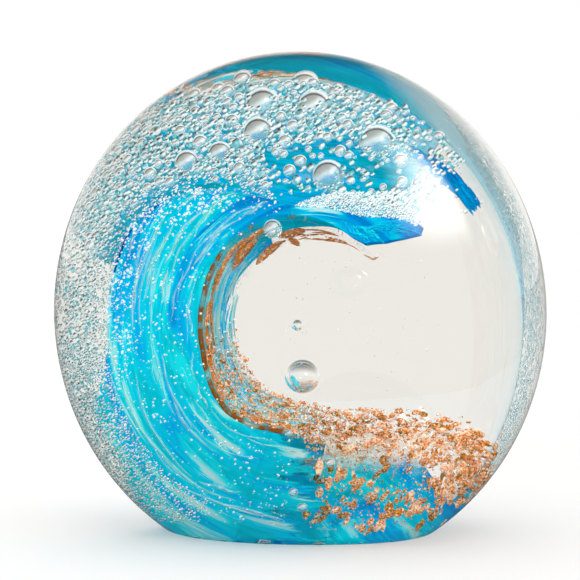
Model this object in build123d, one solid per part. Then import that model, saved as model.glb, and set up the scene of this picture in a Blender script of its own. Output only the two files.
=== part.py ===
"""Glass wave sculpture: a pebble of clear cast glass with a breaking wave of coloured glass sealed inside it.

The origin is the centre of the ground base, +Z is up, the wave is seen from the front along +Y
and its curl opens towards +X. Sizes are in millimetres and angles in degrees.
"""

from build123d import *
from math import atan2, cos, degrees, radians, sin, tan
import os

# Clear glass body
BODY_WIDTH = 108.0
BODY_DEPTH = 58.0
OVAL_HEIGHT = 114.6  # height of the whole oval, before its foot is ground away
RIM_RADIUS = 22.0
CENTRE_HEIGHT = 48.0  # the widest level, above the ground base
CASING_WALL = 3.5
BASE_WALL = 3.0

# Barrel of the wave: a cone that narrows, sinks and turns to the right towards the back
BARREL_X = 4.6
BARREL_FRONT = -20.0  # where its other sizes are taken
BARREL_HEIGHT = 47.75
BARREL_RADIUS = 21.55
BARREL_TAPER_ANGLE = 12.2
BARREL_TILT_ANGLE = 2.9
BARREL_SKEW_ANGLE = 7.6
LINING_THICKNESS = 1.8

# Wave wall round the barrel, in angles about the barrel's axis from +X
WALL_THICKNESS = 22.1
CREST_THICKNESS = 3.9
SWELL_START_ANGLE = 92.0
SWELL_END_ANGLE = 156.0
BACK_END_ANGLE = 187.0
BACK_FOOT_ANGLE = 256.0  # the way that the back runs on down to the rim
BACK_POINT_COUNT = 7
LIP_ANGLE = 52.0
TIP_ANGLE = 42.0
TIP_REACH = 8.9  # how far the lip stands out past the barrel's edge
CREST_SPLIT_ANGLE = 100.0  # where the deep blue lip meets the turquoise wall

# Rear of the wave: the coloured glass lies on the front of the clear core, and is deep only at its foot
REAR_X = -14.0
REAR_DEPTH = -9.0  # along Y at REAR_X
REAR_SKEW_ANGLE = 16.7
FOOT_HEIGHT = 28.0
FOOT_SLOPE_ANGLE = 49.0
FOOT_TILT_ANGLE = 19.3
LIP_REAR = -13.0  # the lip is thinner than the wall
LINING_BEYOND = 5.0  # how far the lining reaches back past the wall

# Foam: a layer on the front of the clear core, and its end above the lip as a step from the tip
FOAM_REAR = 2.0  # along Y
FOAM_END_LEFT = 4.0
FOAM_END_UP = 9.5
FOAM_END_ANGLE = 45.0

# Beach: a slope that falls from the barrel's floor to the foot of the front face
BEACH_HEIGHT = 29.0
BEACH_BACK = 17.0
BEACH_SLOPE_ANGLE = 33.0
BEACH_LEFT = 7.0  # where the wave's front gives way to the slope
SAND_DEPTH = 7.5
SAND_LEFT = -7.0
SAND_END = 37.0  # where the sand ends at the right, in the middle of the depth
SAND_END_ANGLE = 18.3
TOE_RIGHT = 31.0  # where the blue under the sand ends

# Copper glass chips in the sand
CHIP_LAYER_COUNT = 2
CHIP_ROW_COUNT = 6
CHIP_COLUMN_COUNT = 8
CHIP_PITCH = 5.6
CHIP_LENGTH = 4.6
CHIP_WIDTH = 2.6
CHIP_THICKNESS = 1.8
CHIP_LEAST_SIZE = 0.6  # as a share of the sizes above
CHIP_MIDDLE_ANGLE = 35.0  # turn on the slope, and its swing either way
CHIP_SWING_ANGLE = 40.0

# Copper streak in the lining under the crest
COPPER_START_ANGLE = 62.0
COPPER_END_ANGLE = 118.0

# White threads wound along the lining
THREAD_COUNT = 3
THREAD_MIDDLE = -11.5  # along Y
THREAD_PITCH = 4.5
THREAD_WIDTH = 1.4
THREAD_START_ANGLE = 125.0
THREAD_END_ANGLE = 262.0

# White streaks in the wave's front skin: start and end angle, and distance out from the barrel's edge
STREAK_WIDTH = 1.3
STREAK_DEPTH = 1.6
STREAKS = [
    (128.0, 162.0, 8.9),
    (140.0, 180.0, 6.4),
    (150.0, 180.0, 16.5),
    (172.0, 202.0, 10.8),
    (186.0, 222.0, 4.9),
    (205.0, 227.0, 14.3),
    (216.0, 242.0, 9.0),
    (232.0, 252.0, 4.2),
]

# Cobalt cane along the wave's back
CANE_START_ANGLE = 128.0
CANE_END_ANGLE = 162.0
CANE_INSET = 3.0
CANE_WIDTH = 1.1
CANE_DEPTH = 4.0

# Rear sheet of blue that shows above the crest, behind the front foam
SHEET_START_ANGLE = 60.0
SHEET_END_ANGLE = 114.0
SHEET_GAP = 4.0
SHEET_WIDTH = 7.5
SHEET_FRONT = -6.0
SHEET_THICKNESS = 5.0

# Blue fleck near the right rim, about the body's centre
FLECK_START_ANGLE = 33.0
FLECK_END_ANGLE = 53.0
FLECK_INSET = 12.5
FLECK_WIDTH = 2.4
FLECK_FRONT = -16.0
FLECK_THICKNESS = 2.0

# Large bubbles in the foam: angle, height above the wave's back, place along Y and radius
FOAM_BUBBLES = [
    (104.0, 18.9, -8.0, 3.6),
    (106.5, 13.0, -13.0, 3.3),
    (118.3, 8.9, -13.5, 2.5),
    (128.0, 6.8, -13.0, 2.7),
    (90.0, 19.7, -8.5, 3.4),
    (69.8, 13.9, -12.0, 3.6),
    (85.1, 6.4, -15.5, 3.2),
    (75.9, 18.0, -9.4, 2.0),
]

# Bubbles in the barrel: angle and distance from the barrel's axis, place along Y and radius
BARREL_BUBBLES = [
    (253.8, 11.8, 0.0, 3.5),
    (195.0, 4.4, 0.0, 1.2),
]

# Half the span of the blocks that the regions are drawn with, beyond the body on every side
REACH = BODY_WIDTH + BODY_DEPTH + OVAL_HEIGHT


def pebble(inset):
    """The body's form, drawn in by a wall: two domed faces and a round rim, tangent all round."""
    radius = BODY_WIDTH / 2 - inset
    half = BODY_DEPTH / 2 - inset
    rim = RIM_RADIUS - inset
    reach = radius - rim
    dome = (reach**2 + half**2 - rim**2) / (2 * (half - rim))
    lean = degrees(atan2(dome - half, reach))
    front_face = CenterArc((0, dome - half), dome, -90, 90 - lean)
    round_rim = CenterArc((reach, 0), rim, -lean, 2 * lean)
    back_face = CenterArc((0, half - dome), dome, lean, 90 - lean)
    axis = Line((0, half), (0, -half))
    turned = revolve(make_face([front_face, round_rim, back_face, axis]), Axis.Y)
    oval = scale(turned, by=(1, 1, (OVAL_HEIGHT / 2 - inset) / radius))
    return Pos(0, 0, CENTRE_HEIGHT) * oval


def upright_prism(face, front=-REACH, back=REACH):
    """A face drawn in X and Z, carried from front to back along Y."""
    plane = Plane(origin=(0, back, 0), x_dir=(1, 0, 0), z_dir=(0, -1, 0))
    return extrude(plane * face, amount=back - front)


def polar(centre, angle, radius):
    return (centre[0] + radius * cos(radians(angle)), centre[1] + radius * sin(radians(angle)))


def about_barrel(angle, radius):
    return polar((BARREL_X, BARREL_HEIGHT), angle, radius)


def wall_at(angle):
    """The wave's thickness outside the barrel: thin along the crest, swelling to the full wall."""
    share = min(max((angle - SWELL_START_ANGLE) / (SWELL_END_ANGLE - SWELL_START_ANGLE), 0.0), 1.0)
    swell = share * share * (3 - 2 * share)
    return CREST_THICKNESS + (WALL_THICKNESS - CREST_THICKNESS) * swell


def back_radius(angle):
    return BARREL_RADIUS + wall_at(angle)


def lip_tip():
    return about_barrel(TIP_ANGLE, BARREL_RADIUS + TIP_REACH)


def right_of(x):
    return Pos(x + REACH, 0, 0) * Box(2 * REACH, 2 * REACH, 2 * REACH)


def left_of_sand_end():
    block = Pos(-REACH, 0, 0) * Box(2 * REACH, 2 * REACH, 2 * REACH)
    return Pos(SAND_END, 0, 0) * Rot(0, 0, SAND_END_ANGLE) * block


def above(z):
    return Pos(0, 0, z + REACH) * Box(2 * REACH, 2 * REACH, 2 * REACH)


def barrel(extra):
    """The barrel's cone, widened by a lining where one is asked for."""
    spread = tan(radians(BARREL_TAPER_ANGLE)) * BODY_DEPTH
    radius = BARREL_RADIUS + extra
    cone = Cone(radius + spread, radius - spread, 2 * BODY_DEPTH)
    heading = Rot(0, 0, -BARREL_SKEW_ANGLE) * Rot(-90 - BARREL_TILT_ANGLE, 0, 0)
    return Pos(BARREL_X, BARREL_FRONT, BARREL_HEIGHT) * heading * cone


def sector(start, end):
    """A wedge about the barrel's axis that reaches past the body."""
    middle = (start + end) / 2
    wedge = Polyline(
        about_barrel(start, 0), about_barrel(start, REACH), about_barrel(middle, REACH),
        about_barrel(end, REACH), close=True)
    return upright_prism(make_face(wedge))


def wave_region():
    """Everything inside the wave's back, from the tip of the lip round the left to the foot."""
    turn = (BACK_END_ANGLE - LIP_ANGLE) / BACK_POINT_COUNT
    angles = [LIP_ANGLE + turn * (i + 1) for i in range(BACK_POINT_COUNT)]
    back = [lip_tip()] + [about_barrel(a, back_radius(a)) for a in angles]
    below = Polyline(
        back[-1], polar(back[-1], BACK_FOOT_ANGLE, REACH), (REACH, -REACH), (REACH, lip_tip()[1]), back[0])
    return upright_prism(make_face([Spline(back), below]))


def in_front_of(y):
    return Pos(0, y - REACH, 0) * Box(2 * REACH, 2 * REACH, 2 * REACH)


def in_front_of_rear(beyond):
    """Everything in front of the wave's rear: a skewed upright plane, and a slope back under its foot."""
    block = in_front_of(beyond)
    upright = Rot(0, 0, REAR_SKEW_ANGLE) * block
    foot = Rot(0, -FOOT_TILT_ANGLE, 0) * Rot(90 - FOOT_SLOPE_ANGLE, 0, 0) * block
    return Pos(REAR_X, REAR_DEPTH, FOOT_HEIGHT) * (upright + foot)


def opening_region():
    """The clear glass to the right of the curl, under the foam's end."""
    tip = lip_tip()
    foam_end = (tip[0] - FOAM_END_LEFT, tip[1] + FOAM_END_UP)
    outline = Polyline(
        about_barrel(0, 0), about_barrel(LIP_ANGLE, BARREL_RADIUS), tip, foam_end,
        polar(foam_end, FOAM_END_ANGLE, REACH / 2), (REACH, -REACH), (BEACH_LEFT, -REACH), close=True)
    return upright_prism(make_face(outline))


def under_beach(lowered):
    """Everything under the beach, or under a surface that lies a little way below it."""
    height = BEACH_HEIGHT - lowered / cos(radians(BEACH_SLOPE_ANGLE))
    foot = height - (BEACH_BACK + REACH) * tan(radians(BEACH_SLOPE_ANGLE))
    profile = Polyline(
        (-REACH, foot), (BEACH_BACK, height), (REACH, height), (REACH, foot - REACH), (-REACH, foot - REACH),
        close=True)
    plane = Plane(origin=(-REACH, 0, 0), x_dir=(0, 1, 0), z_dir=(1, 0, 0))
    return extrude(plane * make_face(profile), amount=2 * REACH)


def arc_band(outer, inner, front=-REACH, back=REACH):
    """A band between two arcs, each through three points."""
    outline = [
        ThreePointArc(*outer),
        Line(outer[2], inner[2]),
        ThreePointArc(*reversed(inner)),
        Line(inner[0], outer[0]),
    ]
    return upright_prism(make_face(outline), front, back)


def three_angles(start, end):
    return [start, (start + end) / 2, end]


def wall_band(start, end, radius, width):
    """A band of the wall that follows the wave's flow, along a line whose radius goes with the angle."""

    def edge(side):
        return [about_barrel(a, radius(a) + side * width / 2) for a in three_angles(start, end)]

    return arc_band(edge(1), edge(-1))


def white_streaks():
    bands = []
    for start, end, beyond in STREAKS:
        bands.append(wall_band(start, end, lambda angle: BARREL_RADIUS + beyond, STREAK_WIDTH))
    return bands


def cobalt_cane():
    """A thin band that keeps an even distance from the wave's back."""

    def line(angle):
        return back_radius(angle) - CANE_INSET

    return wall_band(CANE_START_ANGLE, CANE_END_ANGLE, line, CANE_WIDTH)


def front_skin(inner, depth):
    """The front of the coloured mass, to a depth under the casing."""
    return (inner & in_front_of(0)) - pebble(CASING_WALL + depth)


def lining_threads():
    """Slices across the barrel, evenly spaced from front to back, over the left of the curl."""
    wedge = sector(THREAD_START_ANGLE, THREAD_END_ANGLE)
    first = THREAD_MIDDLE - THREAD_PITCH * (THREAD_COUNT - 1) / 2
    one_slice = Box(2 * REACH, THREAD_WIDTH, 2 * REACH)
    return [wedge & (Pos(0, first + THREAD_PITCH * i, 0) * one_slice) for i in range(THREAD_COUNT)]


def rear_sheet():
    """A slice of a ring just outside the crest, set in the middle of the foam."""

    def edge(outward):
        angles = three_angles(SHEET_START_ANGLE, SHEET_END_ANGLE)
        return [about_barrel(a, back_radius(a) + SHEET_GAP + outward) for a in angles]

    return arc_band(edge(SHEET_WIDTH), edge(0), SHEET_FRONT, SHEET_FRONT + SHEET_THICKNESS)


def blue_fleck():
    """A short curved strip that follows the rim at the right."""

    def edge(outward):
        radius = BODY_WIDTH / 2 - FLECK_INSET + outward
        angles = three_angles(FLECK_START_ANGLE, FLECK_END_ANGLE)
        return [polar((0, CENTRE_HEIGHT), a, radius) for a in angles]

    return arc_band(edge(FLECK_WIDTH), edge(0), FLECK_FRONT, FLECK_FRONT + FLECK_THICKNESS)


def chip(size):
    """One crushed chip: a long flat lozenge with four points."""
    waist = [(CHIP_LENGTH, 0), (0, CHIP_WIDTH), (-CHIP_LENGTH, 0), (0, -CHIP_WIDTH)]
    corners = [Vector(x * size / 2, y * size / 2, 0) for x, y in waist]
    faces = []
    for height in (CHIP_THICKNESS * size / 2, -CHIP_THICKNESS * size / 2):
        for i in range(len(corners)):
            triangle = [corners[i], corners[(i + 1) % len(corners)], Vector(0, 0, height)]
            faces.append(Face(Wire.make_polygon(triangle, close=True)))
    return Solid(Shell(faces))


def bedded_chips():
    """Chips in staggered rows down the slope, in even layers through the sand."""
    slope = radians(BEACH_SLOPE_ANGLE)
    chips = []
    for layer in range(CHIP_LAYER_COUNT):
        under = SAND_DEPTH * (layer + 0.5) / CHIP_LAYER_COUNT
        for row in range(CHIP_ROW_COUNT):
            along = (row + 1) * CHIP_PITCH
            y = BEACH_BACK - along * cos(slope)
            z = BEACH_HEIGHT - along * sin(slope) - under / cos(slope)
            stagger = ((row + layer) % 2) / 2
            for column in range(CHIP_COLUMN_COUNT):
                x = SAND_LEFT + (column + 1 + stagger) * CHIP_PITCH
                wander = 2 * column + 3 * row + 5 * layer  # an uneven sequence, the same at every build
                turn = CHIP_MIDDLE_ANGLE + CHIP_SWING_ANGLE * sin(wander)
                size = 1 - (1 - CHIP_LEAST_SIZE) * cos(wander) ** 2
                chips.append(Pos(x, y, z) * Rot(BEACH_SLOPE_ANGLE, 0, turn) * chip(size))
    return chips


def bubbles(places, start_radius):
    """Round voids, each set off from a start radius about the barrel's axis."""
    voids = []
    for angle, beyond, y, radius in places:
        x, z = about_barrel(angle, start_radius(angle) + beyond)
        voids.append(Pos(x, y, z) * Sphere(radius))
    return voids


def axis_radius(angle):
    return 0.0


def save(name, shapes):
    """Writes a node: one solid, or a group of separate ones."""
    group = shapes if isinstance(shapes, list) else [shapes]
    solids = [solid for shape in group for solid in shape.solids()]
    export_step(solids[0] if len(solids) == 1 else Compound(solids), f"parts/{name}.step")
    print(name, len(solids), "solids", round(sum(s.volume for s in solids)), "mm3")


def main():
    os.makedirs("parts", exist_ok=True)

    # Regions, drawn past the body, that share the inside of the casing between them
    beach = under_beach(0)
    toe = under_beach(SAND_DEPTH) - right_of(TOE_RIGHT)
    hollow_region = (barrel(0) + opening_region()) - beach
    sand_region = (beach - toe) & right_of(SAND_LEFT) & left_of_sand_end()
    foam_region = (above(0) & in_front_of(FOAM_REAR)) - wave_region() - hollow_region - sand_region
    blue_under_sand = under_beach(SAND_DEPTH) & right_of(SAND_LEFT) - right_of(TOE_RIGHT)
    wave_side = wave_region() - hollow_region - sand_region
    lining_region = wave_side & (in_front_of_rear(LINING_BEYOND) + blue_under_sand) & barrel(LINING_THICKNESS)
    wall_region = (wave_side & (in_front_of_rear(0) + blue_under_sand)) - lining_region
    crest_side = sector(0, CREST_SPLIT_ANGLE)
    lip_region = wall_region & crest_side & in_front_of(LIP_REAR)
    wall_region = wall_region - crest_side
    core_region = above(0) - foam_region - sand_region - lining_region - wall_region - lip_region

    outer = pebble(0) & above(0)
    inner = pebble(CASING_WALL) & above(BASE_WALL)
    save("outer_casing", outer - inner)

    core = (core_region & inner) - bubbles(BARREL_BUBBLES, axis_radius)
    fleck = core & blue_fleck()
    save("core_gather", core - fleck)
    save("blue_fleck", fleck)

    sand = sand_region & inner
    chips = [sand & one for one in bedded_chips()]
    save("sand_bed", sand - chips)
    save("sand_chips", chips)

    lining = lining_region & inner
    copper = lining & sector(COPPER_START_ANGLE, COPPER_END_ANGLE)
    threads = [(lining - copper) & one for one in lining_threads()]
    save("copper_streak", copper)
    save("lining_threads", threads)
    save("barrel_lining", lining - copper - threads)

    save("crest_lip", lip_region & inner)
    wall = wall_region & inner
    wall_skin = wall & front_skin(inner, STREAK_DEPTH)
    streaks = [wall_skin & one for one in white_streaks()]
    cane = wall & front_skin(inner, CANE_DEPTH) & cobalt_cane()
    save("white_streaks", streaks)
    save("cobalt_cane", cane)
    save("wave_wall", wall - streaks - cane)

    foam = (foam_region & inner) - bubbles(FOAM_BUBBLES, back_radius)
    sheet = foam & rear_sheet()
    save("rear_sheet", sheet)
    save("foam_glass", foam - sheet)


main()
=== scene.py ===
"""Looks of the glass wave sculpture: clear glass round a breaking wave of blue glass, foam and copper sand.

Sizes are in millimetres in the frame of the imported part, and meshes are written in metres.
"""

from math import atan2, cos, hypot, pi, radians, sin, sqrt, tan

import bmesh
import bpy
import numpy as np
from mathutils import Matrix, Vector


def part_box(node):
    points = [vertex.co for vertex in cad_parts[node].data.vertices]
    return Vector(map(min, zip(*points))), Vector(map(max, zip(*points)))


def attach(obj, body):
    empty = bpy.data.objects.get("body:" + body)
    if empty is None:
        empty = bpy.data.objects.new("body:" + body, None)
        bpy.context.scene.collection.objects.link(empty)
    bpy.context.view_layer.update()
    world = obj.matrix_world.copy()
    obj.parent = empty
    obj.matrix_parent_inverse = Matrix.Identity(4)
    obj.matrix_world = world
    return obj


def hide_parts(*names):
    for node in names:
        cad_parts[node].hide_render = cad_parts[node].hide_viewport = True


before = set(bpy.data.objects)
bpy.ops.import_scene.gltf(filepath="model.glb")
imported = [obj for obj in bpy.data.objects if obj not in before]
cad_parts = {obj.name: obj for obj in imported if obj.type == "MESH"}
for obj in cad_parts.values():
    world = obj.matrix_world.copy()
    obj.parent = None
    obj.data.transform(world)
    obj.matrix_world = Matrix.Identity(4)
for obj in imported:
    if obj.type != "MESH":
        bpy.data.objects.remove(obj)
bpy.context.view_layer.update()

MM = 0.001

# Clear glass body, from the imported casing
CASING_LOW, CASING_HIGH = (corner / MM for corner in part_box("outer_casing"))
BODY_WIDTH = CASING_HIGH.x - CASING_LOW.x
BODY_DEPTH = CASING_HIGH.y - CASING_LOW.y
CENTRE_HEIGHT = 48.0
OVAL_HEIGHT = 2 * (CASING_HIGH.z - CENTRE_HEIGHT)
RIM_RADIUS = 22.0
CASING_WALL = 3.5
BASE_WALL = 3.0
FOOT_WALL = 1.4
BASE_BEVEL = 0.5
SKIN = CASING_WALL + 0.4

# Barrel of the wave: a cone that narrows, sinks and turns right towards the back
BARREL_X = 4.6
BARREL_FRONT = -20.0
BARREL_HEIGHT = 47.75
BARREL_RADIUS = 21.55
BARREL_TAPER = tan(radians(12.2))
BARREL_TILT = tan(radians(2.9))
BARREL_SKEW = tan(radians(7.6))

# Wave wall round the barrel, in degrees about its axis
WALL_THICKNESS = 22.1
CREST_THICKNESS = 3.9
SWELL_START = 92.0
SWELL_END = 156.0
BACK_END = 187.0
BACK_FOOT = 256.0
TIP_ANGLE = 42.0
TIP_REACH = 8.9
CREST_SPLIT = 100.0
TORN_FROM = 250.0
WAVE_END = 275.5
LIP_DEPTH = 5.0
LINING_START = 62.0
LINING_END = 261.0
LINING_BEYOND = 5.0
TINT_START = 56.0
TINT_END = 164.0
TINT_RADIUS = 35.0

# Edge of the blue along the barrel's mouth: angle, and how far outside the barrel's cone it lies
EDGE_PLACES = [
    (42.0, 8.2), (45.0, 5.4), (50.0, 2.1), (58.0, -0.8), (67.0, -0.8), (80.0, 0.6), (95.0, 2.0),
    (109.0, 3.0), (121.0, 3.0), (136.0, 2.8), (150.0, 2.2), (165.0, 1.4), (180.0, 1.2), (193.0, 1.2),
    (205.0, 2.0), (215.0, 2.8), (226.0, 3.3), (240.0, 2.4), (248.0, 1.4), (258.0, 1.0), (265.0, 2.4),
    (270.0, 8.0), (273.0, 15.0), (276.0, 25.0),
]

# Rear of the wave: an upright skewed plane, and a slope back under the foot
REAR_X = -14.0
REAR_DEPTH = -9.0
REAR_SKEW = tan(radians(16.7))
FOOT_HEIGHT = 28.0
FOOT_TILT = 0.7
FOOT_SLOPE = tan(radians(49.0))

# Beach
BEACH_HEIGHT = 29.0
BEACH_BACK = 17.0
BEACH_SLOPE = tan(radians(33.0))
SAND_DEPTH = 7.6
SAND_LEFT = -7.0
SAND_RIGHT = 39.0
SAND_INSET = 6.8
SAND_TURN = 0.33
SAND_END = 37.0
BEACH_FRONT = -14.0
BEACH_REAR = 19.0
TOE_LEFT = -4.0
TOE_RIGHT = 31.0

# View of the photograph, in degrees and millimetres; the frame is square
VIEW_AZIMUTH = 5.5
VIEW_ELEVATION = 7.0
VIEW_DISTANCE = 650.0
FRAME_PIXELS = 580
BODY_PIXELS = 493
AIM_LEFT = 2.0
AIM_UP = 5.15
SENSOR_WIDTH = 36.0

# Light
LAMP_POWER = 8.0
TOP_POWER = 1.9
TOP_SPREAD = 60.0
FILL_POWER = 3.2
FLOOR_WHITE = 0.8
FLOOR_GLOW = 0.12
FILL_SIZE = 0.5
FILL_HEADING = Vector((-0.45, -0.85, 0.16))
FILL_AWAY = 0.7
BOX_WIDTH = 0.36
BOX_HEIGHT = 0.42
BOX_HEADING = Vector((0.56, -0.69, 0.46))
BOX_SPOT = Vector((0.0280, -0.0204, 0.077))
BOX_AWAY = 0.6
FLOOR_REACH = 6000.0
FLOOR_MIRRORED = 0.06
RIM_SPOT = (0.034, 0.022, 0.0)
RIM_SHADE = 1.0

chance = np.random.default_rng(11)


# Shapes of the glass body and the wave


def half_depth(x, z, inset):
    """Half of the body's depth at a place, drawn in by a wall; nought outside its outline."""
    radius = BODY_WIDTH / 2 - inset
    upright = OVAL_HEIGHT / 2 - inset
    half = BODY_DEPTH / 2 - inset
    rim = RIM_RADIUS - inset
    reach = radius - rim
    dome = (reach**2 + half**2 - rim**2) / (2 * (half - rim))
    r = hypot(x, (z - CENTRE_HEIGHT) * radius / upright)
    if r >= radius:
        return 0.0
    if r <= reach * dome / (dome - rim):
        return sqrt(dome**2 - r**2) - (dome - half)
    return sqrt(rim**2 - (r - reach) ** 2)


def smooth_step(share):
    share = min(max(share, 0.0), 1.0)
    return share * share * (3 - 2 * share)


def mix(a, b, share):
    return a + (b - a) * share


def about_barrel(angle, radius):
    return BARREL_X + radius * cos(radians(angle)), BARREL_HEIGHT + radius * sin(radians(angle))


def barrel_point(angle, y, extra=0.0):
    """A point on the barrel's cone at a depth, in X and Z."""
    deep = y - BARREL_FRONT
    radius = BARREL_RADIUS - deep * BARREL_TAPER + extra
    x = BARREL_X + deep * BARREL_SKEW + radius * cos(radians(angle))
    z = BARREL_HEIGHT - deep * BARREL_TILT + radius * sin(radians(angle))
    return x, z


def front_of_barrel(angle, inset, extra=0.0):
    """Where a line of the barrel's cone meets the body's front, drawn in by a wall."""
    y = BARREL_FRONT
    for _ in range(6):
        y = -half_depth(*barrel_point(angle, y, extra), inset)
    return y


def beach_height(y):
    return BEACH_HEIGHT - max(0.0, BEACH_BACK - y) * BEACH_SLOPE


def rim_reach(angle, inset, least_half):
    """How far a line from the barrel's axis runs before the body gets too thin or meets the base."""
    low, high = BARREL_RADIUS, BODY_WIDTH
    for _ in range(24):
        middle = (low + high) / 2
        x, z = about_barrel(angle, middle)
        if half_depth(x, z, inset) > least_half and z > FOOT_WALL:
            low = middle
        else:
            high = middle
    return low


def wave_back(angle):
    """The wave's outer edge: the lip, its back, then the line down to the rim, then the rim itself."""
    swell = smooth_step((angle - SWELL_START) / (SWELL_END - SWELL_START))
    back = BARREL_RADIUS + mix(CREST_THICKNESS, WALL_THICKNESS, swell)
    if angle < 70.0:
        back += (TIP_REACH - CREST_THICKNESS) * smooth_step((70.0 - angle) / (70.0 - TIP_ANGLE))
    limit = rim_reach(angle, SKIN, mix(11.5, 4.0, smooth_step((angle - 214) / 18)))
    if angle <= BACK_END:
        return min(back, limit)
    x0, z0 = about_barrel(BACK_END, BARREL_RADIUS + WALL_THICKNESS)
    dx, dz = cos(radians(BACK_FOOT)), sin(radians(BACK_FOOT))
    ux, uz = cos(radians(angle)), sin(radians(angle))
    across = ux * dz - uz * dx
    along = ((x0 - BARREL_X) * dz - (z0 - BARREL_HEIGHT) * dx) / across if abs(across) > 1e-6 else limit
    return min(along, limit) if along > 0 else limit


def wave_rear(x, z, inset):
    """How far back the wave's colour reaches: shallow above, deep at its foot."""
    upright = REAR_DEPTH + (x - REAR_X) * REAR_SKEW
    foot = REAR_DEPTH + (FOOT_HEIGHT + (x - REAR_X) * FOOT_TILT - z) / FOOT_SLOPE
    return min(max(upright, foot), half_depth(x, z, inset))


def edge_lift(angle, share=0.0):
    """How far the blue lies outside the cone at its mouth; it fades to the back, except at both ends."""
    lift = float(np.interp(angle, *zip(*EDGE_PLACES)))
    kept = 1 - smooth_step((angle - 62) / 30) + smooth_step((angle - 235) / 22)
    return mix(lift, lift * kept, share)


def inner_edge(angle):
    """The wave's edge at the barrel's mouth: its place along Y, and how far it lies outside the cone."""
    lift = edge_lift(angle)
    return front_of_barrel(angle, SKIN, lift), lift


def lip_depth(angle):
    """How thick the wave is from front to back: thin at the lip, full past the crest."""
    grown = mix(LIP_DEPTH, BODY_DEPTH, smooth_step((angle - 112) / 36))
    return mix(grown, 1.5, smooth_step((angle - 258) / 14))


def front_place(angle, out, inset=SKIN):
    """A point on the wave's front, a distance out from the barrel's edge."""
    y, lift = inner_edge(angle)
    ix, iz = barrel_point(angle, y, lift)
    start = hypot(ix - BARREL_X, iz - BARREL_HEIGHT)
    x, z = about_barrel(angle, min(start + out, wave_back(angle) - 0.3))
    return Vector((x, -half_depth(x, z, inset), z))


# Mesh building


def new_piece(name, points, faces, smooth=True):
    """A mesh object at the origin, from points in millimetres."""
    mesh = bpy.data.meshes.new(name)
    mesh.from_pydata([tuple(c * MM for c in p) for p in points], [], faces)
    mesh.polygons.foreach_set("use_smooth", [smooth] * len(mesh.polygons))
    piece = bpy.data.objects.new(name, mesh)
    bpy.context.scene.collection.objects.link(piece)
    return piece


def outward(piece):
    """Turns every face outwards."""
    made = bmesh.new()
    made.from_mesh(piece.data)
    bmesh.ops.recalc_face_normals(made, faces=made.faces)
    made.to_mesh(piece.data)
    made.free()
    return piece


def store(piece, name, kind, values):
    attribute = piece.data.attributes.new(name, kind, "POINT")
    field = "vector" if kind == "FLOAT_VECTOR" else "value"
    attribute.data.foreach_set(field, np.array(values, np.float32).ravel())


def tube_faces(first, rings, count):
    """Faces of a closed tube whose rings of points follow one another, with both ends capped."""
    faces = []
    for i in range(rings - 1):
        a, b = first + i * count, first + (i + 1) * count
        faces += [(a + j, a + (j + 1) % count, b + (j + 1) % count, b + j) for j in range(count)]
    last = first + (rings - 1) * count
    faces.append(tuple(first + j for j in reversed(range(count))))
    faces.append(tuple(last + j for j in range(count)))
    return faces


def loft(name, rings, flow, behind=None):
    """Skins a row of closed rings; flow is each point's place along the streaks, behind its rear share."""
    points = [p for ring in rings for p in ring]
    piece = new_piece(name, points, tube_faces(0, len(rings), len(rings[0])))
    store(piece, "flow", "FLOAT_VECTOR", [f for ring in flow for f in ring])
    if behind:
        store(piece, "behind", "FLOAT", [b for ring in behind for b in ring])
    return outward(piece)


class Ribbons:
    """Many flat tapered strips of glass in one mesh, each with its own tone."""

    def __init__(self):
        self.points, self.faces, self.tones, self.flow = [], [], [], []

    def lay(self, path, sides, ups, width, thickness, tone):
        first = len(self.points)
        steps = len(path)
        for i, (place, side, up) in enumerate(zip(path, sides, ups)):
            share = i / (steps - 1)
            taper = max(sin(pi * share) ** 0.6, 0.04)
            w, t = side * (width / 2 * taper), up * (thickness / 2 * taper)
            self.points += [place - w, place - t, place + w, place + t]
            self.tones += [tone] * 4
            self.flow += [(share, s, tone) for s in (0.0, 0.5, 1.0, 0.5)]
        self.faces += tube_faces(first, steps, 4)

    def draw(self, steps, at, width, thickness, tone):
        """Lays a strip; at gives its place, side and up for a share of its length."""
        self.lay(*zip(*(at(t) for t in np.linspace(0, 1, steps))), width, thickness, tone)

    def piece(self, name):
        made = new_piece(name, self.points, self.faces)
        store(made, "tone", "FLOAT", self.tones)
        store(made, "flow", "FLOAT_VECTOR", self.flow)
        return outward(made)


SCATTER_INPUTS = [
    ("Points", "Geometry"), ("Roundness", "Int"), ("Least shape", "Vector"), ("Most shape", "Vector"),
    ("Least turn", "Vector"), ("Most turn", "Vector"), ("Smooth", "Bool"), ("Seed", "Int"),
    ("Glass", "Material"),
]


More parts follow.
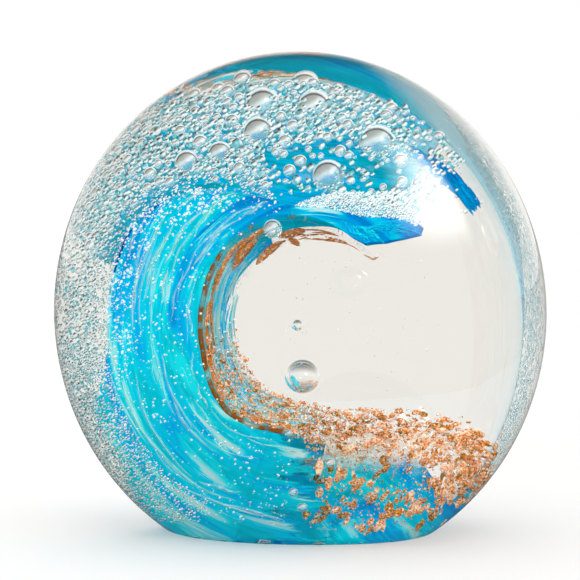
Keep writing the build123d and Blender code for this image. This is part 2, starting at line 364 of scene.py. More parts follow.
def scatter_tree(name):
    """Geometry Nodes: a grain on every point, of the point's own size, turned by chance."""
    tree = bpy.data.node_groups.new(name, "GeometryNodeTree")
    for label, kind in SCATTER_INPUTS:
        tree.interface.new_socket(label, in_out="INPUT", socket_type="NodeSocket" + kind)
    tree.interface.new_socket("Grains", in_out="OUTPUT", socket_type="NodeSocketGeometry")
    given = tree.nodes.new("NodeGroupInput").outputs
    size = add(tree, "GeometryNodeInputNamedAttribute", {"Name": "size"}, data_type="FLOAT").outputs[0]
    grain = add(tree, "GeometryNodeMeshIcoSphere", {
        "Radius": 1.0, "Subdivisions": given["Roundness"]}).outputs[0]
    own = add(tree, "GeometryNodeStoreNamedAttribute", {
        "Geometry": grain, "Name": "ball", "Value": tree.nodes.new("GeometryNodeInputPosition").outputs[0]},
        data_type="FLOAT_VECTOR", domain="POINT").outputs[0]
    shape = add(tree, "FunctionNodeRandomValue", {
        0: given["Least shape"], 1: given["Most shape"], "Seed": given["Seed"]},
        data_type="FLOAT_VECTOR").outputs[0]
    turn = add(tree, "FunctionNodeRandomValue", {
        0: given["Least turn"], 1: given["Most turn"], "Seed": given["Seed"]},
        data_type="FLOAT_VECTOR").outputs[0]
    scale = add(tree, "ShaderNodeVectorMath", {0: shape, "Scale": size}, operation="SCALE").outputs[0]
    laid = add(tree, "GeometryNodeInstanceOnPoints", {
        "Points": given["Points"], "Instance": own, "Rotation": turn, "Scale": scale}).outputs[0]
    tone = add(tree, "FunctionNodeRandomValue", {"Seed": given["Seed"]}, data_type="FLOAT").outputs[1]
    toned = add(tree, "GeometryNodeStoreNamedAttribute", {
        "Geometry": laid, "Name": "tone", "Value": tone}, data_type="FLOAT", domain="INSTANCE").outputs[0]
    real = add(tree, "GeometryNodeRealizeInstances", {0: toned}).outputs[0]
    soft = add(tree, "GeometryNodeSetShadeSmooth", {
        "Geometry": real, "Shade Smooth": given["Smooth"]}).outputs[0]
    done = add(tree, "GeometryNodeSetMaterial", {"Geometry": soft, "Material": given["Glass"]}).outputs[0]
    out = tree.nodes.new("NodeGroupOutput")
    tree.links.new(done, out.inputs[0])
    return tree


def scatter(name, tree, points, sizes, material, **settings):
    """Grows grains on points and keeps them as a plain mesh."""
    seeded = new_piece(name, points, [])
    store(seeded, "size", "FLOAT", [s * MM for s in sizes])
    grow = seeded.modifiers.new("grow", "NODES")
    grow.node_group = tree
    values = dict(settings, Glass=material)
    for item in tree.interface.items_tree:
        if item.in_out == "INPUT" and item.name.replace(" ", "_") in values:
            grow[item.identifier] = values[item.name.replace(" ", "_")]
    seen = seeded.evaluated_get(bpy.context.evaluated_depsgraph_get())
    grown = bpy.data.meshes.new_from_object(seen)
    seeded.modifiers.clear()
    seeded.data = grown
    return seeded


# Node helpers


def feed(tree, socket, value):
    """Links a socket, or sets it; a colour of three numbers is opaque."""
    if isinstance(value, bpy.types.NodeSocket):
        tree.links.new(value, socket)
    else:
        socket.default_value = (*value, 1.0) if socket.type == "RGBA" and len(value) == 3 else value


def add(tree, kind, inputs=None, **settings):
    node = tree.nodes.new(kind)
    for name, value in settings.items():
        setattr(node, name, value)
    for socket, value in (inputs or {}).items():
        feed(tree, node.inputs[socket], value)
    return node


def maths(tree, operation, a, b=0.0, c=0.0, clamp=False):
    return add(tree, "ShaderNodeMath", {0: a, 1: b, 2: c}, operation=operation, use_clamp=clamp).outputs[0]


def times(tree, a, b):
    return maths(tree, "MULTIPLY", a, b)


def plus(tree, a, b):
    return maths(tree, "ADD", a, b)


def minus(tree, a, b):
    return maths(tree, "SUBTRACT", a, b)


def over(tree, a, b):
    return maths(tree, "DIVIDE", a, b)


def swing(tree, value, by):
    """A noise value as a swing to both sides of nought."""
    return times(tree, minus(tree, value, 0.5), by)


def towards(tree, vector, direction):
    """How far a vector runs in a direction."""
    inputs = {0: vector, 1: direction}
    return add(tree, "ShaderNodeVectorMath", inputs, operation="DOT_PRODUCT").outputs["Value"]


def ramp(tree, value, stops, interpolation="LINEAR"):
    """A colour ramp, from (place, colour) stops."""
    node = add(tree, "ShaderNodeValToRGB", {0: value})
    node.color_ramp.interpolation = interpolation
    elements = node.color_ramp.elements
    while len(elements) < len(stops):
        elements.new(0.5)
    for element, (place, colour) in zip(elements, stops):
        element.position = place
        element.color = (*colour, 1.0)
    return node.outputs[0]


def grey_ramp(tree, value, stops, interpolation="LINEAR"):
    return ramp(tree, value, [(place, (level, level, level)) for place, level in stops], interpolation)


def blend_colours(tree, share, a, b):
    return add(tree, "ShaderNodeMix", {0: share, 6: a, 7: b}, data_type="RGBA").outputs[2]


def new_material(name):
    material = bpy.data.materials.new(name)
    material.use_nodes = True
    material.node_tree.nodes.clear()
    return material, material.node_tree


def finish_material(tree, shader):
    add(tree, "ShaderNodeOutputMaterial", {"Surface": shader})


def mix_shaders(tree, share, a, b):
    return add(tree, "ShaderNodeMixShader", {0: share, 1: a, 2: b}).outputs[0]


def see_through(tree):
    return add(tree, "ShaderNodeBsdfTransparent").outputs[0]


def noise(tree, vector, scale, detail=2.0, roughness=0.5, distortion=0.0):
    inputs = {
        "Vector": vector, "Scale": scale, "Detail": detail, "Roughness": roughness, "Distortion": distortion}
    return add(tree, "ShaderNodeTexNoise", inputs).outputs["Fac"]


def sparkle(tree, scale, channel):
    """A random value for each small cell of glass."""
    cells = add(tree, "ShaderNodeTexVoronoi", {"Vector": object_place(tree), "Scale": scale}).outputs["Color"]
    return add(tree, "ShaderNodeSeparateColor", {0: cells}).outputs[channel]


def stretched(tree, vector, scale, shift=(0.0, 0.0, 0.0)):
    return add(tree, "ShaderNodeMapping", {"Vector": vector, "Scale": scale, "Location": shift}).outputs[0]


def object_place(tree):
    return add(tree, "ShaderNodeTexCoord").outputs["Object"]


def attribute(tree, name, output="Vector"):
    return add(tree, "ShaderNodeAttribute", attribute_name=name).outputs[output]


def part_of(tree, vector, axis):
    return add(tree, "ShaderNodeSeparateXYZ", {0: vector}).outputs[axis]


def glowing_glass(tree, colour, through=0.5):
    """Coloured glass inside the clear body: lit from the front and from behind."""
    front = add(tree, "ShaderNodeBsdfDiffuse", {"Color": colour}).outputs[0]
    behind = add(tree, "ShaderNodeBsdfTranslucent", {"Color": colour}).outputs[0]
    return mix_shaders(tree, through, front, behind)


# Materials

GLASS_INDEX = 1.5

# How much of a lamp's light passes each glass
CLEAR_PASSES = 0.8
AIR_PASSES = 0.97
WAVE_PASSES = 0.45
SKIN_PASSES = 0.6

DEEP_BLUE = (0.0, 0.29, 0.72)
SEA_BLUE = (0.0, 0.50, 0.90)
TURQUOISE = (0.0, 0.72, 0.90)
TEAL = (0.0, 0.60, 0.72)
DEEP_TEAL = (0.0, 0.36, 0.45)
CYAN = (0.01, 0.90, 0.96)
CREAM = (0.85, 0.97, 0.88)
COBALT = (0.0, 0.01, 0.45)
COPPER = (0.87, 0.31, 0.06)
COPPER_DARK = (0.36, 0.12, 0.015)
COPPER_GLINT = (1.0, 0.85, 0.66)
OLIVE = (0.22, 0.19, 0.03)
ROOF_CREAM = (0.95, 0.93, 0.88)
PALE_SAND = (0.90, 0.85, 0.74)
WHITE_SAND = (1.0, 0.98, 0.93)
# Bubble colours, painted reflection and shade: teal and white low on the right, beige, grey and dark at the
# top left
PEARL_TEAL = (0.06, 0.52, 0.60)
PEARL_PALE = (0.55, 0.80, 0.83)
PEARL_WHITE = (1.0, 1.0, 1.0)
# Painted reflection: the pale laid on the wave's rear at the far left, for the grey that the right rim
# mirrors
RIM_MIRRORED_PALE = (0.95, 0.95, 0.94)
PEARL_SHADE = (0.36, 0.35, 0.33)
PEARL_BEIGE_SHADE = (0.55, 0.50, 0.45)
PEARL_DARK = (0.05, 0.05, 0.045)
CLEAR_TINT = (0.955, 0.945, 0.90)


def clear_glass():
    """Colourless cast glass with a faint waviness; lamps shine through it."""
    material, tree = new_material("clear_glass")
    ripple = noise(tree, object_place(tree), 28.0, 1.0)
    bump = add(tree, "ShaderNodeBump", {"Strength": 0.015, "Distance": 0.0006, "Height": ripple}).outputs[0]
    glass = add(tree, "ShaderNodeBsdfPrincipled", {
        "Base Color": CLEAR_TINT, "Roughness": 0.0, "IOR": GLASS_INDEX, "Transmission Weight": 1.0,
        "Normal": bump})
    finish_material(tree, lamp_through(tree, glass.outputs[0], CLEAR_PASSES))
    return material


def lamp_through(tree, shader, level):
    """Lets the lamps shine through glass instead of casting a solid shadow."""
    clear = add(tree, "ShaderNodeBsdfTransparent", {"Color": (level, level, level)}).outputs[0]
    shadow = add(tree, "ShaderNodeLightPath").outputs["Is Shadow Ray"]
    return mix_shaders(tree, shadow, shader, clear)


def trapped_air(name, colours, cover, wander, glints, ring=0.0):
    """A bubble in the glass: clear air, and a silvered part whose colours are painted reflection and shade.

    Stops run from low right to top: painted teal and white low on the right, painted shade towards the top
    left, and teal glints painted by chance. A ring is a painted highlight along the upper edge, with a
    painted dark arc inside it.
    """
    material, tree = new_material(name)
    air = add(tree, "ShaderNodeBsdfGlass", {"Color": PEARL_WHITE, "Roughness": 0.0, "IOR": 1 / GLASS_INDEX})
    ball = attribute(tree, "ball")
    lit = towards(tree, ball, (-0.5, 0.0, 0.86))
    ripple = noise(tree, object_place(tree), 1100.0, 1.0)
    lit = plus(tree, lit, swing(tree, ripple, wander))
    share = maths(tree, "MULTIPLY_ADD", lit, 0.5, 0.5)
    # Painted reflection and shade: the stops colour the bubble from low right to top left
    colour = ramp(tree, share, colours)
    # Painted glints: teal patches by chance, standing in for the blue glass the bubbles mirror
    glint = noise(tree, stretched(tree, object_place(tree), (1.0, 1.0, 1.0), (0.3, 0.1, 0.7)), 800.0, 1.0)
    glint = grey_ramp(tree, glint, [(0.52, 0.0), (0.62, glints)])
    colour = blend_colours(tree, glint, colour, PEARL_TEAL)
    shown = grey_ramp(tree, share, cover)
    # Painted highlight along the upper edge, and a painted dark arc inside it
    if ring:
        edge = maths(tree, "ABSOLUTE", part_of(tree, ball, 1))
        upper = grey_ramp(tree, part_of(tree, ball, 2), [(0.05, 0.0), (0.3, ring)])
        bright = grey_ramp(tree, edge, [(0.05, 0.4), (0.14, 1.0), (0.36, 1.0), (0.46, 0.0)])
        bright = times(tree, bright, upper)
        dark = times(tree, grey_ramp(tree, edge, [(0.44, 0.0), (0.52, 1.0), (0.62, 0.0)]), upper)
        colour = blend_colours(tree, bright, colour, PEARL_WHITE)
        colour = blend_colours(tree, dark, colour, PEARL_DARK)
        shown = maths(tree, "MAXIMUM", shown, maths(tree, "MAXIMUM", bright, dark))
    rear = grey_ramp(tree, part_of(tree, ball, 1), [(0.05, 0.0), (0.3, 1.0)])
    colour = blend_colours(tree, rear, colour, PEARL_WHITE)
    mirror_paint = glowing_glass(tree, colour, 0.35)
    gloss = add(tree, "ShaderNodeBsdfGlossy", {"Color": colour, "Roughness": 0.25}).outputs[0]
    mirror_paint = mix_shaders(tree, 0.2, mirror_paint, gloss)
    both = mix_shaders(tree, shown, air.outputs[0], mirror_paint)
    finish_material(tree, lamp_through(tree, both, AIR_PASSES))
    return material


def free_bubble():
    """A clear bubble in the open glass, with a painted turquoise reflection: an arc low on its left."""
    material, tree = new_material("free_air")
    air = add(tree, "ShaderNodeBsdfGlass", {"Color": PEARL_WHITE, "Roughness": 0.0, "IOR": 1 / GLASS_INDEX})
    ball = attribute(tree, "ball")
    low = towards(tree, ball, (-0.82, 0.0, -0.57))
    ripple = noise(tree, object_place(tree), 300.0, 1.0)
    low = maths(tree, "MULTIPLY_ADD", minus(tree, ripple, 0.5), 0.2, low)
    # Painted reflection: a turquoise arc low on the left, for the blue wave the bubble mirrors
    arc = grey_ramp(tree, low, [(0.74, 0.0), (0.80, 0.85), (0.95, 0.85)])
    blue = glowing_glass(tree, TURQUOISE, 0.35)
    both = mix_shaders(tree, arc, air.outputs[0], blue)
    finish_material(tree, lamp_through(tree, both, AIR_PASSES))
    return material


def wave_colours(tree, flow, deeper):
    """Turquoise and blue drawn out in long streaks along the flow of the wave, with pale drifts."""
    broad = noise(tree, stretched(tree, flow, (0.03, 0.24, 0.05)), 1.0, 3.0, 0.55, 0.6)
    crest = grey_ramp(tree, over(tree, part_of(tree, flow, 0), 100.0), [(0.50, 0.13), (0.74, 0.0)])
    beside_foam = grey_ramp(tree, over(tree, part_of(tree, flow, 1), 30.0), [(0.48, 0.0), (0.68, 0.10)])
    around = over(tree, part_of(tree, flow, 0), 140.0)
    beside_foam = times(tree, beside_foam, grey_ramp(tree, around, [(0.75, 1.0), (0.85, 0.0)]))
    crest = plus(tree, crest, beside_foam)
    broad = minus(tree, broad, plus(tree, crest, deeper))
    body = ramp(tree, broad, [
        (0.30, DEEP_BLUE), (0.40, SEA_BLUE), (0.50, TURQUOISE), (0.58, TEAL), (0.66, CYAN)])
    drifts = noise(tree, stretched(tree, flow, (0.05, 0.55, 0.05), (3.1, 0.7, 0.0)), 1.0, 4.0, 0.62, 0.5)
    drifts = plus(tree, drifts, grey_ramp(tree, around, [(0.78, 0.0), (0.95, 0.07)]))
    drifts = grey_ramp(tree, drifts, [(0.50, 0.0), (0.66, 0.85)])
    fine = noise(tree, stretched(tree, flow, (0.03, 1.5, 0.1), (0.0, 5.0, 0.0)), 1.0, 2.0, 0.6, 0.2)
    fine = grey_ramp(tree, fine, [(0.56, 0.0), (0.72, 0.5)])
    pale = maths(tree, "MAXIMUM", drifts, fine)
    patches = noise(tree, stretched(tree, flow, (0.06, 0.16, 0.05), (9.0, 2.0, 0.0)), 1.0, 1.0)
    pale = times(tree, pale, grey_ramp(tree, patches, [(0.40, 0.0), (0.62, 1.0)]))
    behind = attribute(tree, "behind", "Fac")
    pale = times(tree, pale, grey_ramp(tree, behind, [(0.0, 1.0), (0.5, 0.0)]))
    body = blend_colours(tree, grey_ramp(tree, pale, [(0.0, 0.0), (0.45, 0.9)]), body, CYAN)
    body = blend_colours(tree, grey_ramp(tree, pale, [(0.3, 0.0), (0.9, 1.0)]), body, CREAM)
    deep = maths(tree, "MULTIPLY_ADD", part_of(tree, flow, 2), 0.02, 0.5)
    deep = grey_ramp(tree, deep, [(0.46, 0.0), (0.60, 0.9)])
    body = blend_colours(tree, deep, body, DEEP_TEAL)
    # Painted reflection: the rear face at the far left is painted pale, standing in for the light grey that
    # the right rim shows where it mirrors this face.
    aside = times(tree, part_of(tree, object_place(tree), 0), -20.0)
    thick = noise(tree, stretched(tree, flow, (0.05, 0.5, 0.05), (7.0, 3.0, 0.0)), 1.0, 3.0, 0.6, 0.4)
    behind = times(tree, behind, grey_ramp(tree, thick, [(0.32, 0.8), (0.50, 1.0)]))
    mirrored_pale = times(tree, grey_ramp(tree, aside, [(0.28, 0.0), (0.44, 1.0)]), behind)
    return blend_colours(tree, mirrored_pale, body, RIM_MIRRORED_PALE)


def wave_glass(name, deeper):
    """The wave's streaked blue glass."""
    material, tree = new_material(name)
    shader = glowing_glass(tree, wave_colours(tree, attribute(tree, "flow"), deeper))
    finish_material(tree, lamp_through(tree, shader, WAVE_PASSES))
    return material


def torn_glass():
    """The same blue where the wave runs out into the sand, torn into clear glass."""
    material, tree = new_material("torn_wave_glass")
    flow = attribute(tree, "flow")
    shader = glowing_glass(tree, wave_colours(tree, flow, 0.0))
    clear = see_through(tree)
    torn = noise(tree, stretched(tree, flow, (0.07, 0.40, 0.0), (1.0, 6.0, 0.0)), 1.0, 3.0, 0.6)
    ending = maths(tree, "MULTIPLY_ADD", part_of(tree, flow, 0), 1 / 14.0, -146.0 / 14.0)
    ending = plus(tree, ending, swing(tree, torn, 2.8))
    floor = grey_ramp(tree, over(tree, part_of(tree, flow, 1), 10.0), [(0.1, 0.5), (0.8, 0.0)])
    gone = grey_ramp(tree, plus(tree, ending, floor), [(0.35, 0.0), (0.60, 1.0)])
    shader = mix_shaders(tree, gone, shader, clear)
    finish_material(tree, lamp_through(tree, shader, WAVE_PASSES))
    return material


def ribbon_glass(name, low, high, cover=1.0):
    """Strips of one glass, from one tone to another, mottled along their length and soft at their edges."""
    material, tree = new_material(name)
    flow = attribute(tree, "flow")
    tone = attribute(tree, "tone", "Fac")
    mottle = noise(tree, stretched(tree, flow, (7.0, 3.0, 40.0)), 1.0, 2.0)
    share = maths(tree, "ADD", tone, swing(tree, mottle, 0.9), clamp=True)
    shader = glowing_glass(tree, blend_colours(tree, share, low, high))
    if cover < 1.0:
        clear = see_through(tree)
        edge = times(tree, maths(tree, "PINGPONG", part_of(tree, flow, 1), 0.5), 2.0)
        shown = times(tree, grey_ramp(tree, edge, [(0.0, 0.0), (0.8, 1.0)]), cover)
        shown = times(tree, shown, grey_ramp(tree, mottle, [(0.3, 0.3), (0.6, 1.0)]))
        shader = mix_shaders(tree, shown, clear, shader)
    finish_material(tree, shader)
    return material


def tint_glass():
    """A torn veil of teal among the bubbles: strong above the crest, pale at the left."""
    material, tree = new_material("tint_glass")
    flow = attribute(tree, "flow")
    tears = noise(tree, stretched(tree, flow, (0.12, 0.3, 0.0)), 1.0, 4.0, 0.65, 0.5)
    out = part_of(tree, flow, 1)
    near = minus(tree, 1.0, over(tree, out, 26.0))
    share = maths(tree, "MULTIPLY_ADD", minus(tree, tears, 0.5), 1.8, near)
    shown = grey_ramp(tree, share, [(0.15, 0.25), (0.75, 0.95)])
    left = grey_ramp(tree, over(tree, part_of(tree, flow, 0), 140.0), [(0.56, 1.0), (0.70, 0.0)])
    beside = grey_ramp(tree, over(tree, out, 10.0), [(0.25, 1.0), (0.55, 0.0)])
    left = maths(tree, "MAXIMUM", left, times(tree, beside, 0.8))
    shown = times(tree, shown, left)
    hue = noise(tree, stretched(tree, flow, (0.05, 0.9, 0.0), (4.0, 1.0, 0.0)), 1.0, 4.0, 0.65, 0.4)
    colour = ramp(tree, hue, [
        (0.32, DEEP_BLUE), (0.40, SEA_BLUE), (0.47, TEAL), (0.54, DEEP_TEAL), (0.60, SEA_BLUE), (0.68, TEAL)])
    colour = blend_colours(tree, left, TEAL, colour)
    clear = see_through(tree)
    veil = glowing_glass(tree, colour)
    finish_material(tree, mix_shaders(tree, shown, clear, veil))
    return material


def lining_glass():
    """The skin of the barrel: threads of turquoise, cream, olive and copper, thinning towards the back."""
    material, tree = new_material("lining_glass")
    flow = attribute(tree, "flow")
    streaks = noise(tree, stretched(tree, flow, (0.03, 10.0, 0.0)), 1.0, 3.0, 0.62, 0.3)
    colour = ramp(tree, streaks, [
        (0.28, COPPER), (0.35, OLIVE), (0.38, CREAM), (0.45, CYAN), (0.51, TURQUOISE), (0.56, CREAM),
        (0.62, PALE_SAND), (0.66, OLIVE), (0.70, COPPER)])
    around = part_of(tree, flow, 0)
    back = part_of(tree, flow, 1)
    roof = grey_ramp(tree, over(tree, around, 100.0), [(0.49, 1.0), (0.58, 0.0)])
    colour = blend_colours(tree, times(tree, roof, 0.8), colour, ROOF_CREAM)
    edge = noise(tree, stretched(tree, flow, (0.25, 3.0, 0.0), (2.0, 4.0, 0.0)), 1.0, 2.0)
    edge = grey_ramp(tree, edge, [(0.4, 0.4), (0.5, 1.0)])
    edge = times(tree, grey_ramp(tree, back, [(0.03, 1.0), (0.10, 0.0)]), edge)
    colour = blend_colours(tree, edge, colour, COPPER_DARK)
    clear = see_through(tree)
    specks = noise(tree, stretched(tree, flow, (0.5, 60.0, 0.0)), 1.0, 2.0, 0.7)
    thin = minus(tree, times(tree, back, 1.1), 0.45)
    thin = maths(tree, "MAXIMUM", thin, times(tree, roof, 0.4))
    shown = grey_ramp(tree, minus(tree, specks, times(tree, thin, 0.5)), [(0.36, 0.0), (0.46, 1.0)])
    skin = lamp_through(tree, glowing_glass(tree, colour), SKIN_PASSES)
    finish_material(tree, mix_shaders(tree, shown, clear, skin))
    return material


def copper_glass(name, glint_from):
    """Aventurine: copper glass full of fine glitter, each chip of its own tone; the palest cells are painted
    glints.
    """
    material, tree = new_material(name)
    spark = sparkle(tree, 3200.0, 0)
    tone = attribute(tree, "tone", "Fac")
    spark = plus(tree, spark, swing(tree, tone, 0.6))
    # Painted glints: the palest cells stand in for the glitter catching the light
    colour = ramp(tree, spark, [
        (0.0, OLIVE), (0.10, COPPER_DARK), (0.28, COPPER), (glint_from, COPPER),
        (glint_from + 0.2, COPPER_GLINT)])
    shown = grey_ramp(tree, sparkle(tree, 2300.0, 1), [(0.16, 0.0), (0.24, 1.0)])
    clear = see_through(tree)
    chip = glowing_glass(tree, colour, 0.3)
    chip = mix_shaders(tree, shown, clear, chip)
    finish_material(tree, lamp_through(tree, chip, SKIN_PASSES))
    return material


def sand_glass():
    """Pale sand in clear glass: thick along the top of the slope, thin over the blue, torn at its edges."""
    material, tree = new_material("pale_sand_glass")
    flow = attribute(tree, "flow")
    speck = noise(tree, stretched(tree, flow, (1.6, 1.6, 1.6)), 1.0, 4.0, 0.7)
    colour = ramp(tree, speck, [(0.35, PALE_SAND), (0.50, WHITE_SAND), (0.62, PALE_SAND), (0.70, COPPER)])
    clouds = noise(tree, stretched(tree, flow, (0.22, 0.22, 0.0)), 1.0, 4.0, 0.65)
    back = grey_ramp(tree, maths(tree, "MULTIPLY_ADD", part_of(tree, flow, 1), 0.03, 0.4), [
        (0.42, 0.0), (0.72, 1.0), (0.80, 0.9), (0.88, 0.0)])
    aside = maths(tree, "MULTIPLY_ADD", part_of(tree, flow, 1), SAND_TURN, part_of(tree, flow, 0))
    end = grey_ramp(tree, over(tree, aside, 50.0), [(0.62, 1.0), (0.74, 0.0)])
    shown = plus(tree, times(tree, back, 0.75), minus(tree, clouds, 0.5))
    shown = times(tree, grey_ramp(tree, shown, [(0.28, 0.0), (0.75, 0.9)]), end)
    clear = see_through(tree)
    grit = lamp_through(tree, glowing_glass(tree, colour, 0.4), CLEAR_PASSES)
    finish_material(tree, mix_shaders(tree, shown, clear, grit))
    return material


# Pieces


def glass_body():
    """The clear pebble: two domed faces and a round rim, with its foot ground flat."""
    radius = BODY_WIDTH / 2
    half = BODY_DEPTH / 2
    reach = radius - RIM_RADIUS
    dome = (reach**2 + half**2 - RIM_RADIUS**2) / (2 * (half - RIM_RADIUS))
    lean = atan2(dome - half, reach)
    dome_steps, rim_steps, around = 26, 40, 200
    profile = []
    for i in range(1, dome_steps + 1):
        a = (pi / 2 - lean) * i / dome_steps
        profile.append((dome * sin(a), dome - half - dome * cos(a)))
    for i in range(1, rim_steps):
        a = -lean + 2 * lean * i / rim_steps
        profile.append((reach + RIM_RADIUS * cos(a), RIM_RADIUS * sin(a)))
    profile += [(r, -y) for r, y in reversed(profile[:dome_steps])]
    points = [(0.0, -half, CENTRE_HEIGHT)]
    for r, y in profile:
        for j in range(around):
            a = 2 * pi * j / around
            points.append((r * cos(a), y, CENTRE_HEIGHT + r * sin(a) * OVAL_HEIGHT / BODY_WIDTH))
    points.append((0.0, half, CENTRE_HEIGHT))
    end = len(points) - 1
    faces = [(0, 1 + j, 1 + (j + 1) % around) for j in range(around)]
    for i in range(len(profile) - 1):
        a, b = 1 + i * around, 1 + (i + 1) * around
        faces += [(a + j, b + j, b + (j + 1) % around, a + (j + 1) % around) for j in range(around)]
    a = 1 + (len(profile) - 1) * around
    faces += [(a + j, end, a + (j + 1) % around) for j in range(around)]
    piece = new_piece("glass_body", points, faces)
    made = bmesh.new()
    made.from_mesh(piece.data)
    everything = list(made.verts) + list(made.edges) + list(made.faces)
    bmesh.ops.bisect_plane(made, geom=everything, plane_co=(0, 0, 0), plane_no=(0, 0, 1), clear_inner=True)
    foot = [e for e in made.edges if e.is_boundary]
    base = bmesh.ops.contextual_create(made, geom=foot)["faces"]
    bmesh.ops.recalc_face_normals(made, faces=made.faces)
    edges = [e for f in base for e in f.edges]
    bmesh.ops.bevel(made, geom=edges, offset=BASE_BEVEL * MM, segments=3, profile=0.5, affect="EDGES")
    for f in made.faces:
        f.smooth = len(f.verts) < 8
    made.to_mesh(piece.data)
    made.free()
    return piece


TOWARDS_FRONT = Vector((0, -1, 0))


def skin_section(steps, sides, at):
    """A closed section of a thin skin, out along one side and back along the other.

    at gives a point and its flow place for a share of the way and a side.
    """
    out = [(i / (steps - 1), sides[0]) for i in range(steps)]
    home = [(i / (steps - 1), sides[1]) for i in reversed(range(steps))]
    return zip(*(at(share, side) for share, side in out + home))


def wave_ring(angle):
    """One closed section of the wave: front face, back edge, rear face and barrel wall."""
    across, deep = 34, 12
    front, lift = inner_edge(angle)
    ix, iz = barrel_point(angle, front, lift)
    ox, oz = about_barrel(angle, wave_back(angle))
    along = radians(angle) * (BARREL_RADIUS + WALL_THICKNESS / 2)
    rear = min(max(wave_rear(ix, iz, SKIN), front + 1.0), front + lip_depth(angle))
    rx, rz = barrel_point(angle, rear, edge_lift(angle, 1.0))
    points, flow, behind = [], [], []

    def put(x, y, z, share_behind):
        points.append((x, y, z))
        flow.append((along, hypot(x - BARREL_X, z - BARREL_HEIGHT) - BARREL_RADIUS, y))
        behind.append(share_behind)

    for i in range(across):
        share = i / (across - 1)
        x, z = mix(ix, ox, share), mix(iz, oz, share)
        put(x, -half_depth(x, z, SKIN), z, 0.0)
    edge = -half_depth(ox, oz, SKIN)
    edge_rear = min(max(wave_rear(ox, oz, SKIN), edge + 1.0), edge + lip_depth(angle))
    for i in range(1, deep):
        put(ox, mix(edge, edge_rear, i / deep), oz, i / deep)
    for i in range(across):
        share = 1 - i / (across - 1)
        x, z = mix(rx, ox, share), mix(rz, oz, share)
        y = max(min(mix(rear, edge_rear, share), wave_rear(x, z, SKIN)), 0.5 - half_depth(x, z, SKIN))
        put(x, y, z, 1.0)
    for i in range(1, deep):
        y = mix(rear, front, i / deep)
        x, z = barrel_point(angle, y, edge_lift(angle, 1 - i / deep))
        put(x, y, z, 1 - i / deep)
    return points, flow, behind


def wave_part(name, start, end, steps):
    """A stretch of the wave's wall, lofted along its flow."""
    sections = [wave_ring(a) for a in np.linspace(start, end, steps)]
    return loft(name, *zip(*sections))


def lip_rags():
    """Ragged azure ends along the lip."""
    strips = Ribbons()
    for _ in range(24):
        start = chance.uniform(40, 60)
        low, high = inner_edge(start)[1], wave_back(start) - BARREL_RADIUS
        out = mix(low, high, chance.uniform(-0.1, 1.1))
        end = start + chance.uniform(6, 16)
        lip_strip(strips, start, end, out, chance.uniform(0.5, 1.3), chance.uniform(0, 1))
    return strips.piece("lip_rags_glass")


def lip_strip(strips, start, end, out, width, tone):
    def at(t):
        angle = mix(start, end, t)
        low, high = inner_edge(angle)[1] + 0.5, wave_back(angle) - BARREL_RADIUS - 0.3
        x, z = about_barrel(angle, BARREL_RADIUS + mix(out, (low + high) / 2, t) + 0.3 * sin(8 * t + out))
        side = Vector((cos(radians(angle)), 0, sin(radians(angle))))
        return Vector((x, -half_depth(x, z, SKIN - 0.1), z)), side, TOWARDS_FRONT

    strips.draw(12, at, width, 0.6, tone)


def wave_streaks():
    """Long tapered strips of white glass laid along the flow on the wave's front."""
    strips = Ribbons()
    for _ in range(46):
        start = chance.uniform(100, 240)
        end = min(start + chance.uniform(12, 40), 262)
        out = chance.uniform(1.0, 20.0)
        last_out = out + chance.uniform(-1.5, 1.5)
        wave_strip(strips, start, end, out, last_out, chance.uniform(0.4, 1.5), chance.uniform(0.3, 1.0))
    return strips.piece("white_streaks_glass")


def wave_strip(strips, start, end, out, last_out, width, tone):
    def at(t):
        angle = mix(start, end, t)
        o = mix(out, last_out, t) + 0.25 * sin(9 * t + 2 * out)
        here = front_place(angle, o)
        return here, (front_place(angle, o - 0.5) - here).normalized(), TOWARDS_FRONT

    strips.draw(18, at, width, 0.5, tone)


def cobalt_lines():
    """The cobalt cane along the wave's back, with two finer ones beside it."""
    strips = Ribbons()
    wave_strip(strips, 128, 168, 17.5, 20.0, 0.8, 0.4)
    wave_strip(strips, 108, 150, 8.5, 18.6, 0.6, 0.7)
    wave_strip(strips, 138, 176, 19.6, 20.8, 0.5, 0.2)
    return strips.piece("cobalt_cane_glass")


def lining_depth(angle):
    """Where the lining starts and ends along Y."""
    x, z = barrel_point(angle, *inner_edge(angle))
    front = -half_depth(x, z, SKIN + 0.2)
    return front, max(wave_rear(x, z, SKIN + 0.2) + LINING_BEYOND, front + 0.6)


def lining():
    """The thin skin inside the barrel."""
    def section(angle):
        front, rear = lining_depth(angle)

        def at(share, extra):
            y = mix(front, rear, share)
            x, z = barrel_point(angle, y, extra + edge_lift(angle, share))
            return (x, y, z), (radians(angle) * BARREL_RADIUS, share, extra)

        return skin_section(40, (-0.9, -0.2), at)

    return loft("barrel_lining_glass", *zip(*map(section, np.linspace(LINING_START, LINING_END, 140))))


def lining_place(angle, share, lift):
    """A point on the lining, from its front edge (0) to its back (1), lifted into the barrel."""
    front, rear = lining_depth(angle)
    y = mix(front + 0.8, rear, share)
    x, z = barrel_point(angle, y, edge_lift(angle, share) - lift)
    return Vector((x, y, z))


def lining_strip(strips, start, end, share, last_share, width, tone, lift=1.0):
    """A strip wound on the lining from one place in its depth to another."""
    def at(t):
        angle = mix(start, end, t)
        s = mix(share, last_share, t)
        here = lining_place(angle, s, lift)
        side = (lining_place(angle, s + 0.05, lift) - here).normalized()
        return here, side, Vector((-cos(radians(angle)), 0, -sin(radians(angle))))

    strips.draw(14, at, width, 0.35, tone)


